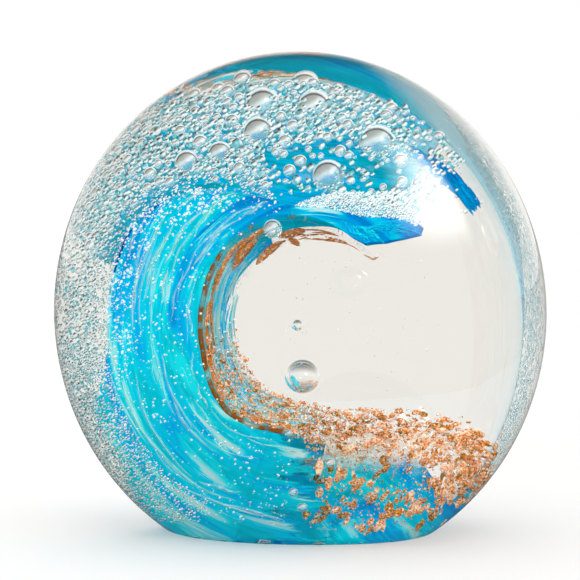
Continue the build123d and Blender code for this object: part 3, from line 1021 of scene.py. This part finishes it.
def lining_threads():
    """Fine white and turquoise threads wound along the barrel."""
    strips = Ribbons()
    for _ in range(60):
        start = chance.uniform(138, 235)
        share = chance.uniform(0.12, 0.86)
        end = min(start + chance.uniform(14, 44), LINING_END)
        last_share = share + chance.uniform(-0.12, 0.12)
        lining_strip(strips, start, end, share, last_share, chance.uniform(0.25, 0.7), chance.uniform(0, 1))
    return strips.piece("lining_threads_glass")


# Copper patches under the crest: start and end angle, start and end place in the depth, and width
CREST_PATCHES = [
    (122.0, 146.0, 0.26, 0.40, 4.6), (114.0, 138.0, 0.62, 0.78, 4.2), (98.0, 115.0, 0.40, 0.50, 7.5),
    (108.0, 113.0, 0.72, 0.78, 7.0), (70.0, 105.0, 0.90, 0.72, 2.4), (84.0, 100.0, 0.30, 0.42, 2.0),
    (55.0, 67.0, 0.70, 0.84, 4.5), (113.0, 136.0, 0.10, 0.20, 3.0), (126.0, 152.0, 0.06, 0.14, 2.4),
]


def copper_streaks():
    """Copper along the barrel's front edge and in patches under the crest."""
    strips = Ribbons()
    # Painted light: the crest patches take a high tone, which lightens them against the shade under the crest
    for start, end, share, last_share, width in CREST_PATCHES:
        lining_strip(strips, start, end, share, last_share, width, chance.uniform(0.7, 0.9), 1.2)
    for _ in range(12):
        start = chance.uniform(68, 112)
        share = chance.uniform(0.1, 0.8)
        lining_strip(strips, start, start + chance.uniform(8, 20), share, share + chance.uniform(-0.15, 0.15),
                     chance.uniform(0.3, 0.8), chance.uniform(0, 1), 1.2)
    for _ in range(40):
        start = chance.uniform(118, 240)
        share = chance.uniform(0.0, 0.2)
        lining_strip(strips, start, start + chance.uniform(8, 24), share, share + chance.uniform(-0.05, 0.1),
                     chance.uniform(0.5, 1.3), chance.uniform(0, 1), 1.2)
    return strips.piece("copper_streak_glass")


def toe():
    """The blue under the sand: a block with a sloping, uneven top."""
    def section(x):
        edge = smooth_step((TOE_RIGHT - x) / 10)

        def at(share, is_top):
            y = mix(BEACH_FRONT, BEACH_REAR, share)
            z, rise = FOOT_WALL, 0.0
            if is_top:
                uneven = 0.9 * sin(0.5 * x + 0.33 * y) + 0.6 * sin(0.9 * x - 0.5 * y)
                z = max(mix(FOOT_WALL, beach_height(y) - SAND_DEPTH + uneven, edge), FOOT_WALL + 0.3)
                rise = z
            limit = half_depth(x, z, SKIN)
            inside = min(max(y, -limit), limit)
            along = (inside if is_top else y) + 100.0 + 0.4 * rise
            return (x, inside, z), (along, 0.35 * x + 0.25 * rise, -20.0)

        return skin_section(30, (True, False), at)

    return loft("wave_toe_glass", *zip(*map(section, np.linspace(TOE_LEFT, TOE_RIGHT, 30))))


def rear_sheet():
    """Ragged strips of blue behind the foam, above the crest."""
    strips = Ribbons()
    for _ in range(60):
        start = chance.uniform(58, 104)
        end = start + chance.uniform(10, 30)
        out = chance.uniform(2.0, 12.0)
        y0 = chance.uniform(-9.0, 2.0)

        def at(t):
            angle = mix(start, end, t)
            x, z = about_barrel(angle, min(wave_back(angle), 32.0) + out + 0.8 * sin(7 * t + out))
            side = Vector((cos(radians(angle)), 0.3, sin(radians(angle)))).normalized()
            return Vector((x, y0 + t, z)), side, TOWARDS_FRONT

        strips.draw(12, at, chance.uniform(0.8, 2.6), 0.6, chance.uniform(0, 1))
    return strips.piece("rear_sheet_glass")


def foam_tint():
    """A thin veil of blue among the bubbles, torn and fading away from the wave."""
    def section(angle):
        back = min(wave_back(angle), BARREL_RADIUS + WALL_THICKNESS)
        reach = rim_reach(angle, SKIN, 11.0)

        def at(share, lift):
            out = mix(-1.5, max(reach - back, 0.5), share)
            x, z = about_barrel(angle, back + out)
            y = -half_depth(x, z, SKIN) + mix(0.8, 4.0, smooth_step(out / 6)) + lift
            return (x, y, z), (radians(angle) * TINT_RADIUS, out, 0.0)

        return skin_section(24, (0.0, 0.4), at)

    return loft("foam_tint_glass", *zip(*map(section, np.linspace(TINT_START, TINT_END, 100))))


def blue_fleck():
    """Short blue strips near the right rim."""
    strips = Ribbons()
    for _ in range(40):
        start = chance.uniform(31, 47)
        end = start + chance.uniform(5, 11)
        out = chance.uniform(45.2, 47.4) - 0.05 * start

        def at(t):
            angle = radians(mix(start, end, t))
            x, z = out * cos(angle), CENTRE_HEIGHT + out * sin(angle)
            side = Vector((cos(angle), 0.3, sin(angle))).normalized()
            return Vector((x, -half_depth(x, z, SKIN + 1.5), z)), side, TOWARDS_FRONT

        strips.draw(10, at, chance.uniform(0.4, 1.5), 0.4, chance.uniform(0, 1))
    return strips.piece("blue_fleck_glass")


def in_sand(count, x_range, y_range, depth, thin=1.0):
    """Places under the slope of the beach, inside the casing."""
    places = []
    while len(places) < count:
        x = chance.uniform(*x_range)
        y = mix(*y_range, chance.uniform(0, 1) ** thin)
        z = beach_height(y) - depth * chance.uniform(0, 1)
        if y < 6 and chance.uniform() > smooth_step((x + 2) / 14):
            continue
        if z > BASE_WALL + 0.5 and abs(y) < half_depth(x, z, SAND_INSET) and x + SAND_TURN * y < SAND_END:
            places.append((x, y, z))
    return places


def before_blue(count):
    """Places close behind the body's front, below the slope and over the blue."""
    places = []
    while len(places) < count:
        x, z = chance.uniform(3, 31), chance.uniform(BASE_WALL + 1, 20)
        if z < 21 - 0.3 * x and chance.uniform() < smooth_step((x + 1) / 12):
            places.append((x, -half_depth(x, z, CASING_WALL) + chance.uniform(0.6, 3.0), z))
    return places


def along_right(count):
    """Places close behind the body's front at the right end of the sand."""
    places = []
    while len(places) < count:
        x, z = chance.uniform(25, 38), chance.uniform(BASE_WALL + 2, 25)
        if half_depth(x, z, SAND_INSET) > 1 and z > 31 - 0.9 * (x - 12):
            places.append((x, -half_depth(x, z, CASING_WALL) + chance.uniform(0.6, 3.0), z))
    return places


def on_lining(count, angles, thin):
    """Places on the lower left of the barrel's skin, thinning out towards the back."""
    places = []
    for _ in range(count):
        angle = mix(*angles, chance.uniform(0, 1) ** 0.7)
        share = chance.uniform(0, 1) ** thin
        places.append(lining_place(angle, share * 0.9, chance.uniform(0.3, 1.6)))
    return places


def sizes_from(count, least, most, skew):
    return least + (most - least) * chance.uniform(0, 1, count) ** skew


def sand_veil():
    """A torn slab of pale sand along the top of the slope."""
    def section(x):
        def at(share, under):
            y = mix(BEACH_FRONT, BEACH_REAR, share)
            z = max(beach_height(y) - under, BASE_WALL + 3.0 - under)
            limit = max(half_depth(x, z, SAND_INSET), 0.3)
            y = min(max(y, -limit), limit)
            return (x, y, z), (x, y, under)

        return skin_section(36, (2.6, 4.2), at)

    return loft("sand_veil_glass", *zip(*map(section, np.linspace(SAND_LEFT + 2, SAND_RIGHT - 1, 44))))


def sand(tree, copper):
    """Copper chips and grains down the slope and along the barrel's floor."""
    edge = in_sand(290, (SAND_LEFT, SAND_RIGHT), (19.5, 7.0), 3.5)
    edge_sizes = sizes_from(len(edge), 0.35, 1.45, 1.7)
    open_blue = in_sand(44, (2.0, 34.0), (8.0, -16.0), 6.0) + before_blue(56)
    open_sizes = sizes_from(len(open_blue), 0.5, 1.8, 1.2)
    right = in_sand(80, (26.0, SAND_RIGHT), (14.0, -16.0), 9.0) + along_right(60)
    right_sizes = sizes_from(len(right), 0.4, 1.4, 1.2)
    floor = on_lining(330, (192.0, 268.0), 1.3)
    floor_sizes = sizes_from(len(floor), 0.3, 1.0, 1.5)
    flat = dict(Roundness=1, Least_shape=(0.8, 0.35, 0.35), Most_shape=(1.5, 0.7, 0.7), Smooth=False)
    groups = [
        ("sand_edge_chips", edge + floor, [*edge_sizes, *floor_sizes], (-0.4, -0.5, -0.5), (0.4, 0.5, 0.5)),
        ("sand_open_chips", open_blue, open_sizes, (-0.5, -1.5, -0.5), (0.5, -0.3, 0.5)),
        ("sand_right_chips", right, right_sizes, (-0.5, -1.5, -0.5), (0.5, -0.6, 0.5)),
    ]
    pieces = []
    for i, (name, points, sizes, low, high) in enumerate(groups):
        turns = dict(Least_turn=low, Most_turn=high)
        pieces.append(scatter(name, tree, points, sizes, copper, Seed=30 + i, **turns, **flat))
    grains = in_sand(2400, (SAND_LEFT, SAND_RIGHT), (19.5, 4.0), 4.0)
    grains += in_sand(700, (4.0, SAND_RIGHT), (8.0, -16.0), 7.0)
    grains += before_blue(160)
    grains += on_lining(2600, (180.0, 270.0), 0.9)
    pieces.append(scatter(
        "sand_grains", tree, grains, sizes_from(len(grains), 0.08, 0.36, 2.0), copper,
        Roundness=1, Smooth=False, Seed=5, Least_shape=(0.7, 0.5, 0.4), Most_shape=(1.3, 0.9, 0.7),
        Least_turn=(0, 0, 0), Most_turn=(6, 6, 6)))
    return pieces


# How many bubbles, by place
MEDIUM_FOAM = 360
FRONT_FOAM = 3600
FOOT_FOAM = 900
FROTH = 1300
MIDDLE_FOAM = 1500
DEEP_FOAM = 400
WAVE_SEEDS = 1900
EDGE_SEEDS = 700
BARREL_SEEDS = 60
LINING_SEEDS = 700
SAND_SEEDS = 420
RIM_SEEDS = 90

# Bubbles that show one by one: place and radius
LARGE_BUBBLES = [
    (-6.4, -10.4, 92.9, 3.8), (-7.0, -14.2, 88.1, 3.4), (-15.0, -15.4, 83.8, 2.5), (-22.0, -14.6, 81.6, 2.8),
    (4.3, -10.5, 92.8, 3.6), (17.7, -13.2, 86.1, 3.8), (7.9, -17.6, 79.4, 3.4), (15.0, -11.8, 90.1, 1.9),
    (1.9, -5.6, 96.4, 2.6), (-11.0, -3.8, 96.6, 2.0), (-9.6, -15.7, 83.4, 2.1), (-19.2, -14.3, 85.8, 1.7),
    (-15.8, -4.8, 94.8, 1.5), (-41.2, -6.2, 73.6, 1.7), (-3.4, -21.6, 68.7, 1.9), (-29.8, -13.9, 79.1, 1.5),
    (-28.8, -8.0, 87.0, 1.3), (-1.2, -16.1, 86.4, 1.5), (11.4, -8.8, 94.0, 1.7), (10.3, -17.2, 84.6, 1.3),
    (2.1, -18.4, 82.6, 1.3), (-24.7, -7.3, 89.0, 1.7), (-36.1, -9.1, 78.4, 1.5), (-42.5, -11.1, 63.4, 1.3),
    (-17.3, -7.9, 92.8, 1.7), (-12.6, -12.8, 90.1, 1.5), (8.5, -8.0, 95.2, 1.7), (18.9, -9.4, 90.8, 1.3),
    (22.6, -14.7, 82.4, 1.5), (-23.5, -11.8, 87.8, 1.3), (0.7, -19.1, 12.6, 1.1), (2.5, -17.9, 9.2, 1.1),
    (8.6, -20.8, 19.4, 1.0), (0.0, -22.0, 25.7, 0.9),
]
# Height that parts the foam into two pieces, and the stretch above the lip where the blue sheet shows
FOAM_PARTING = 64.0
SHEET_START = 56.0
SHEET_END = 106.0
SHEET_HEIGHT = 11.5
FOOT_FOAM_WIDTH = 10.5
BARREL_BUBBLES = [(1.3, 0.0, 36.4, 3.5), (0.3, 0.0, 46.6, 1.2)]


class Crowd:
    """Bubbles thrown by chance, where only those that touch no other stay."""

    CELL = 5.0

    def __init__(self):
        self.cells = {}

    def near(self, x, y, z):
        a, b, c = (int(v // self.CELL) for v in (x, y, z))
        keys = [(a + i, b + j, c + k) for i in (-1, 0, 1) for j in (-1, 0, 1) for k in (-1, 0, 1)]
        return [other for key in keys for other in self.cells.get(key, ())]

    def join(self, bubble, overlap=0.9):
        x, y, z, r = bubble
        for p, q, s, t in self.near(x, y, z):
            if (x - p) ** 2 + (y - q) ** 2 + (z - s) ** 2 < (overlap * (r + t)) ** 2:
                return False
        self.cells.setdefault(tuple(int(v // self.CELL) for v in (x, y, z)), []).append(bubble)
        return True

    def fill(self, count, tries, draw, overlap=0.9):
        """Draws bubbles until enough have joined, with so many tries for each."""
        kept = []
        for _ in range(count * tries):
            if len(kept) == count:
                break
            bubble = draw()
            if bubble and self.join(bubble, overlap):
                kept.append(bubble)
        return kept


def froth_height(angle):
    """How far the froth stands above the lip."""
    return mix(8.0, 1.0, (angle - 48) / 47)


def foam_back(angle):
    """Where the foam starts, from the barrel's axis."""
    return min(wave_back(angle), BARREL_RADIUS + WALL_THICKNESS + 2)


def foam_reach(angle, deep):
    """The foam's outer edge: short of the rim over the top, close to it at the left."""
    over_top = mix(8.5, 14.0, smooth_step(deep / 8))
    left = smooth_step((angle - 106) / 34)
    return rim_reach(angle, mix(SKIN, CASING_WALL - 0.6, left), mix(over_top, 3.0, left))


def foam_bubbles(crowd, count, shallow, deep, scale):
    """Bubbles in the foam between the wave's back and the rim, finer near the wave."""
    backs = {a: foam_back(a) for a in range(44, 230)}
    reaches = {a: foam_reach(a, deep) for a in backs}

    def draw():
        angle = chance.uniform(48, 226)
        back, reach = backs[int(angle)], reaches[int(angle)]
        out = chance.uniform(-2.0 if angle > 110 else 0.3, max(reach - back, 0.5))
        if angle < 64 and out > 8 and chance.uniform() < 0.7:
            return None
        in_sheet = SHEET_START < angle < SHEET_END and 0 < out - froth_height(angle) < SHEET_HEIGHT
        if in_sheet and chance.uniform() < 0.96:
            return None
        if angle > 160 and deep > 5:
            return None
        if angle > 118 and out < 3.5 and chance.uniform() < 0.5:
            return None
        x, z = about_barrel(angle, back + out)
        skin = half_depth(x, z, CASING_WALL)
        y = -skin + mix(shallow, deep, chance.uniform(0, 1) ** 1.5)
        if y > skin - 0.8:
            return None
        r = scale * mix(0.2, 0.52, smooth_step(out / 7)) * chance.uniform(0.7, 1.45)
        if angle < 150 and out > 4 and chance.uniform() < 0.16:
            r *= 1.7
        return x, y, z, r

    return crowd.fill(count, 14, draw)


def medium_bubbles(crowd, count):
    """Bubbles of a middle size, scattered through the front of the foam."""
    def draw():
        angle = chance.uniform(56, 200)
        back = foam_back(angle)
        out = mix(2.5, foam_reach(angle, 3.0) - back, chance.uniform(0, 1) ** 0.8)
        x, z = about_barrel(angle, back + out)
        y = -half_depth(x, z, CASING_WALL) + chance.uniform(1.0, 3.0)
        r = mix(0.6, mix(1.6, 0.8, smooth_step((angle - 130) / 40)), chance.uniform(0, 1) ** 1.8)
        in_sheet = angle < SHEET_END and out - froth_height(angle) < SHEET_HEIGHT
        if in_sheet and chance.uniform() < 0.8:
            return None
        return (x, y, z, r) if out > 2 else None

    return crowd.fill(count, 20, draw, 1.0)


def froth_bubbles(crowd, count):
    """Fine dense bubbles along the top of the lip."""
    def draw():
        angle = chance.uniform(45, 96)
        out = chance.uniform(0.1, froth_height(angle))
        x, z = about_barrel(angle, wave_back(angle) + out)
        y = -half_depth(x, z, CASING_WALL) + chance.uniform(0.4, 3.0)
        return x, y, z, chance.uniform(0.16, 0.4)

    return crowd.fill(count, 20, draw, 0.8)


def foot_foam(crowd, count):
    """Foam that runs down the left rim over the wave's foot."""
    def draw():
        angle = chance.uniform(186, 240)
        inward = FOOT_FOAM_WIDTH * chance.uniform(0, 1) ** 1.7
        x, z = about_barrel(angle, rim_reach(angle, CASING_WALL, 3.0) - inward)
        if z < BASE_WALL + 1.5:
            return None
        y = -half_depth(x, z, CASING_WALL) - chance.uniform(-0.3, 0.3)
        return x, y, z, chance.uniform(0.18, mix(0.5, 0.3, inward / FOOT_FOAM_WIDTH))

    return crowd.fill(count, 12, draw)


def clinging_bubbles(large):
    """Small bubbles that cling to the lower front of the large ones."""
    made = []
    for x, y, z, r in large:
        if r < 1.6 or z < CENTRE_HEIGHT:
            continue
        for _ in range(int(13 * r)):
            turn = radians(chance.uniform(-165, 15))
            aside = chance.uniform(0.3, 1.0) ** 0.6
            here = Vector((aside * cos(turn), -sqrt(max(1 - aside**2, 0.0)), aside * sin(turn))) * r
            made.append((x + here.x, y + here.y, z + here.z, chance.uniform(0.14, 0.36)))
    return made


def seeds():
    """Fine bubbles in the wave, thick along its back, with a few in the barrel and at the right rim."""
    made = []
    for _ in range(WAVE_SEEDS):
        angle = mix(100, 262, chance.uniform(0, 1) ** 0.75)
        share = 1 - chance.uniform(0, 1) ** 2.2
        out = (wave_back(angle) - BARREL_RADIUS) * share + chance.uniform(-2.5, 2.5)
        x, z = about_barrel(angle, BARREL_RADIUS + out)
        if z < BASE_WALL + 2 or half_depth(x, z, SKIN) < 4 or out < edge_lift(angle):
            continue
        if angle < 128 and chance.uniform() < 0.6:
            continue
        y = -half_depth(x, z, CASING_WALL - chance.uniform(-0.1, 1.0))
        made.append((x, y, z, 0.08 + 0.28 * chance.uniform(0, 1) ** 2.5))
    for _ in range(EDGE_SEEDS):
        angle = chance.uniform(122, 218)
        x, z = about_barrel(angle, wave_back(angle) + 0.5 - 6.0 * chance.uniform(0, 1) ** 1.6)
        y = -half_depth(x, z, CASING_WALL - chance.uniform(-0.1, 0.6))
        made.append((x, y, z, 0.12 + 0.34 * chance.uniform(0, 1) ** 2))
    for _ in range(BARREL_SEEDS):
        angle, radius = chance.uniform(0, 360), 17 * sqrt(chance.uniform())
        x, z = about_barrel(angle, radius)
        made.append((x + 6, chance.uniform(-20, 12), z, chance.uniform(0.1, 0.2)))
    for _ in range(LINING_SEEDS):
        made.append((*on_lining(1, (175.0, 268.0), 0.9)[0], chance.uniform(0.1, 0.36)))
    for place in in_sand(SAND_SEEDS, (SAND_LEFT, SAND_RIGHT), (19.0, 6.0), 2.5):
        made.append((*place, chance.uniform(0.1, 0.36)))
    for _ in range(RIM_SEEDS):
        angle, out = radians(chance.uniform(33, 60)), chance.uniform(40.5, 46.5)
        x, z = out * cos(angle), CENTRE_HEIGHT + out * sin(angle)
        y = -half_depth(x, z, CASING_WALL) + chance.uniform(0.6, 5.0)
        made.append((x, y, z, chance.uniform(0.15, 0.45)))
    return made


def bubbles(tree, foam_air, seed_air, large_air, free_air):
    """Bubbles of every size: foam in front, foam behind, seeds and the large ones."""
    crowd = Crowd()
    large = [b for b in LARGE_BUBBLES if crowd.join(b, 0.0)]
    medium = medium_bubbles(crowd, MEDIUM_FOAM)
    front = foam_bubbles(crowd, FRONT_FOAM, 0.6, 3.0, 1.0)
    foot = foot_foam(crowd, FOOT_FOAM) + clinging_bubbles(large)
    groups = [
        ("foam_top_bubbles", [b for b in front if b[2] > FOAM_PARTING], foam_air, 2),
        ("foam_left_bubbles", [b for b in front if b[2] <= FOAM_PARTING], foam_air, 2),
        ("foam_foot_bubbles", foot, foam_air, 2),
        ("foam_froth_bubbles", froth_bubbles(crowd, FROTH), seed_air, 1),
        ("foam_middle_bubbles", foam_bubbles(crowd, MIDDLE_FOAM, 3.0, 9.0, 1.25), foam_air, 2),
        ("foam_deep_bubbles", foam_bubbles(crowd, DEEP_FOAM, 9.0, 18.0, 1.2), foam_air, 2),
        ("large_bubbles", large + medium, large_air, 3),
        ("barrel_bubbles", BARREL_BUBBLES, free_air, 5),
        ("wave_seeds", seeds(), seed_air, 1),
    ]
    still = dict(Least_turn=(0, 0, 0), Most_turn=(0, 0, 0), Smooth=True)
    even = dict(Least_shape=(0.92, 0.92, 0.92), Most_shape=(1.06, 1.06, 1.06))
    pieces = []
    for i, (name, group, air, roundness) in enumerate(groups):
        points, sizes = [b[:3] for b in group], [b[3] for b in group]
        piece = scatter(name, tree, points, sizes, air, Roundness=roundness, Seed=40 + i, **still, **even)
        pieces.append((piece, air))
    return pieces


# Stage


def studio():
    """White floor, soft world light, an even top light, and two soft lamps for the glass."""
    floor = floor_paper()
    world_light()
    top_light()
    spared = bpy.data.collections.new("spared_by_front_lamps")
    spared.objects.link(floor)
    spared.collection_objects[0].light_linking.link_state = "EXCLUDE"
    for lamp in (soft_box(), front_fill()):
        lamp.light_linking.receiver_collection = spared


def floor_paper():
    """A white floor that keeps its shadow; the glass mirrors it darker."""
    corners = [(FLOOR_REACH * x, FLOOR_REACH * y, 0) for x, y in ((-1, -1), (1, -1), (1, 1), (-1, 1))]
    floor = new_piece("floor", corners, [(0, 1, 2, 3)])
    material, tree = new_material("floor_white")
    path = add(tree, "ShaderNodeLightPath")
    away = {0: object_place(tree), 1: RIM_SPOT}
    spot = add(tree, "ShaderNodeVectorMath", away, operation="SUBTRACT").outputs[0]
    shade = maths(tree, "MAXIMUM", rim_shade(tree, spot), path.outputs["Is Camera Ray"])
    paper = add(tree, "ShaderNodeBsdfDiffuse", {"Color": times(tree, shade, FLOOR_WHITE)})
    level = times(tree, path.outputs["Is Camera Ray"], FLOOR_GLOW)
    glow = add(tree, "ShaderNodeEmission", {"Strength": level})
    both = add(tree, "ShaderNodeAddShader", {0: paper.outputs[0], 1: glow.outputs[0]})
    dark = add(tree, "ShaderNodeEmission", {"Strength": FLOOR_MIRRORED})
    finish_material(tree, mix_shaders(tree, mirrored(tree, path), both.outputs[0], dark.outputs[0]))
    floor.data.materials.append(material)
    return floor


def rim_shade(tree, heading):
    """One, or less far to the left behind the glass: the grey that its right rim shows."""
    flat = {0: heading, 1: (1.0, 1.0, 0.0)}
    level = add(tree, "ShaderNodeVectorMath", flat, operation="MULTIPLY").outputs[0]
    level = add(tree, "ShaderNodeVectorMath", {0: level}, operation="NORMALIZE").outputs[0]
    aside = times(tree, part_of(tree, level, 0), -1.0)
    behind = maths(tree, "GREATER_THAN", part_of(tree, level, 1), 0.1)
    return grey_ramp(tree, times(tree, aside, behind), [(0.56, 1.0), (0.74, RIM_SHADE)])


def mirrored(tree, path):
    """True for what the outside of the glass mirrors, and not for what is seen through it."""
    return maths(
        tree, "SUBTRACT", path.outputs["Is Glossy Ray"], path.outputs["Is Transmission Ray"], clamp=True)


def world_light():
    """White all round, greyer overhead, and dark behind the camera where the glass mirrors it."""
    world = bpy.data.worlds.new("studio")
    bpy.context.scene.world = world
    world.use_nodes = True
    tree = world.node_tree
    tree.nodes.clear()
    heading = add(tree, "ShaderNodeTexCoord").outputs["Generated"]
    ceiling = ramp(tree, part_of(tree, heading, 2), [
        (0.0, (0.94, 0.94, 0.94)), (0.25, (0.97, 0.97, 0.97)), (0.6, (0.62, 0.60, 0.57)),
        (0.95, (0.25, 0.23, 0.21))])
    behind_camera = maths(tree, "MULTIPLY_ADD", part_of(tree, heading, 1), 0.5, 0.5)
    behind_camera = grey_ramp(tree, behind_camera, [(0.4, 0.02), (0.62, 1.0)])
    overhead = grey_ramp(tree, part_of(tree, heading, 2), [(0.2, 1.0), (0.55, 0.08)])
    behind_camera = times(tree, behind_camera, overhead)
    path = add(tree, "ShaderNodeLightPath")
    low = grey_ramp(tree, part_of(tree, heading, 2), [(0.05, 0.0), (0.25, 1.0)])
    shade = maths(tree, "MAXIMUM", rim_shade(tree, heading), low)
    ceiling = add(tree, "ShaderNodeVectorMath", {0: ceiling, "Scale": shade}, operation="SCALE").outputs[0]
    room = blend_colours(tree, mirrored(tree, path), ceiling, behind_camera)
    seen = blend_colours(tree, path.outputs["Is Camera Ray"], room, PEARL_WHITE)
    sky = add(tree, "ShaderNodeBackground", {"Color": seen, "Strength": 1.0})
    add(tree, "ShaderNodeOutputWorld", {"Surface": sky.outputs[0]})


def hang(lamp_data, heading=Vector((0, 0, 1)), spot=Vector((0, 0, 0)), away=0.0, shown=False):
    """Hangs a lamp that shines on a spot; unless it is shown, the glass neither mirrors nor shows it."""
    lamp = bpy.data.objects.new(lamp_data.name, lamp_data)
    lamp.location = spot + heading.normalized() * away
    lamp.rotation_euler = heading.to_track_quat("Z", "Y").to_euler()
    lamp.visible_camera = False
    lamp.visible_glossy = shown
    lamp.visible_transmission = shown
    bpy.context.scene.collection.objects.link(lamp)
    return lamp


def top_light():
    """An even soft light from overhead that gives the shadow under the glass."""
    wide = bpy.data.lights.new("top_light", "SUN")
    wide.energy = TOP_POWER
    wide.angle = radians(TOP_SPREAD)
    hang(wide)


def front_fill():
    """A soft lamp low at the front left that lights the colours and doesn't show in the glass."""
    fill = bpy.data.lights.new("front_fill", "AREA")
    fill.size = FILL_SIZE
    fill.energy = FILL_POWER
    return hang(fill, FILL_HEADING, away=FILL_AWAY)


def soft_box():
    """A soft lamp at the front, up to the right, fading towards its edges."""
    box = bpy.data.lights.new("soft_box", "AREA")
    box.shape = "RECTANGLE"
    box.size = BOX_WIDTH
    box.size_y = BOX_HEIGHT
    box.energy = LAMP_POWER
    box.use_nodes = True
    tree = box.node_tree
    tree.nodes.clear()
    across = add(tree, "ShaderNodeNewGeometry").outputs["Parametric"]
    level = None
    for axis in (0, 1):
        side = times(tree, maths(tree, "PINGPONG", part_of(tree, across, axis), 0.5), 2.0)
        fade = grey_ramp(tree, side, [(0.0, 0.0), (0.9, 1.0)], "EASE")
        level = fade if level is None else times(tree, level, fade)
    shine = add(tree, "ShaderNodeEmission", {"Strength": level})
    add(tree, "ShaderNodeOutputLight", {"Surface": shine.outputs[0]})
    return hang(box, BOX_HEADING, BOX_SPOT, BOX_AWAY, shown=True)


def camera():
    """The photograph's view: a little to the right and above, from a distance."""
    a, e = radians(VIEW_AZIMUTH), radians(VIEW_ELEVATION)
    away = Vector((sin(a) * cos(e), -cos(a) * cos(e), sin(e)))
    right = Vector((cos(a), sin(a), 0.0))
    up = away.cross(right)
    aim = Vector((0, 0, CENTRE_HEIGHT)) - right * AIM_LEFT + up * AIM_UP
    data = bpy.data.cameras.new("view")
    data.sensor_width = SENSOR_WIDTH
    data.lens = SENSOR_WIDTH * BODY_PIXELS / FRAME_PIXELS * VIEW_DISTANCE / BODY_WIDTH
    data.clip_start = 0.01
    view = bpy.data.objects.new("view", data)
    view.location = (aim + away * VIEW_DISTANCE) * MM
    view.rotation_euler = away.to_track_quat("Z", "Y").to_euler()
    bpy.context.scene.collection.objects.link(view)
    bpy.context.scene.camera = view


def place(piece, material, slot, *nodes):
    piece.data.materials.clear()
    piece.data.materials.append(material)
    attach(piece, "root")
    if nodes:
        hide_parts(*nodes)


def bubble_airs():
    """The air in the foam, in the seeds, in the large bubbles and in the free ones."""
    # The stops are painted reflection and shade: teal and white low on the right, beige, grey and dark at the
    # top left
    foam = trapped_air(
        "foam_air",
        [(0.06, PEARL_TEAL), (0.22, PEARL_PALE), (0.36, PEARL_WHITE), (0.60, PEARL_WHITE),
         (0.76, PEARL_SHADE), (0.94, PEARL_DARK)],
        [(0.04, 0.4), (0.25, 0.95)], 0.9, 0.8)
    seed = trapped_air(
        "seed_air", [(0.1, PEARL_TEAL), (0.35, PEARL_WHITE), (0.9, PEARL_WHITE)],
        [(0.1, 0.1), (0.45, 0.8)], 0.7, 0.0)
    large = trapped_air(
        "large_air",
        [(0.05, TEAL), (0.22, PEARL_PALE), (0.50, PEARL_WHITE), (0.62, PEARL_WHITE), (0.76, PEARL_BEIGE_SHADE),
         (0.95, PEARL_SHADE)],
        [(0.0, 0.7), (0.16, 0.3), (0.5, 0.2), (0.66, 0.9)], 0.2, 0.0, 1.0)
    return foam, seed, large, free_bubble()


def main():
    scene = bpy.context.scene
    scene.view_settings.view_transform = "Standard"
    scene.cycles.max_bounces = 32
    scene.cycles.transmission_bounces = 28
    scene.cycles.glossy_bounces = 12
    scene.cycles.transparent_max_bounces = 48
    camera()
    studio()
    grains = scatter_tree("scatter_grains")
    place(glass_body(), clear_glass(), "clear_glass", "outer_casing", "core_gather")
    for piece, air in bubbles(grains, *bubble_airs()):
        in_foam = piece.name.startswith(("foam_", "large_"))
        place(piece, air, "bubbled_glass", *(["foam_glass"] if in_foam else []))
    wave = wave_part("wave_wall_glass", CREST_SPLIT, TORN_FROM, 112)
    place(wave, wave_glass("wave_glass", 0.0), "turquoise_glass", "wave_wall")
    place(wave_part("wave_end_glass", TORN_FROM, WAVE_END, 24), torn_glass(), "turquoise_glass", "wave_wall")
    lip = wave_part("crest_lip_glass", TIP_ANGLE, CREST_SPLIT, 50)
    place(lip, wave_glass("crest_glass", -0.03), "deep_blue_glass", "crest_lip")
    place(lip_rags(), ribbon_glass("lip_glass", SEA_BLUE, CYAN, 0.95), "deep_blue_glass")
    place(toe(), wave_glass("toe_glass", 0.02), "turquoise_glass", "wave_wall")
    place(wave_streaks(), ribbon_glass("streak_glass", CYAN, CREAM, 0.8), "white_glass", "white_streaks")
    place(cobalt_lines(), ribbon_glass("cobalt_glass", COBALT, DEEP_BLUE), "deep_blue_glass", "cobalt_cane")
    place(lining(), lining_glass(), "lining_glass", "barrel_lining")
    place(lining_threads(), ribbon_glass("thread_glass", TURQUOISE, CREAM), "white_glass", "lining_threads")
    copper = copper_glass("copper_glass", 0.54)
    place(copper_streaks(), copper_glass("copper_streak_glass", 0.95), "copper_glass", "copper_streak")
    sheet = ribbon_glass("sheet_glass", DEEP_TEAL, SEA_BLUE, 0.9)
    place(rear_sheet(), sheet, "turquoise_glass", "rear_sheet")
    place(foam_tint(), tint_glass(), "turquoise_glass", "rear_sheet")
    place(sand_veil(), sand_glass(), "sand_glass", "sand_bed")
    place(blue_fleck(), ribbon_glass("fleck_glass", SEA_BLUE, DEEP_BLUE), "deep_blue_glass", "blue_fleck")
    *chips, fine_sand = sand(grains, copper)
    for piece in chips:
        place(piece, copper, "copper_glass", "sand_chips")
    place(fine_sand, copper, "sand_glass", "sand_bed")


main()
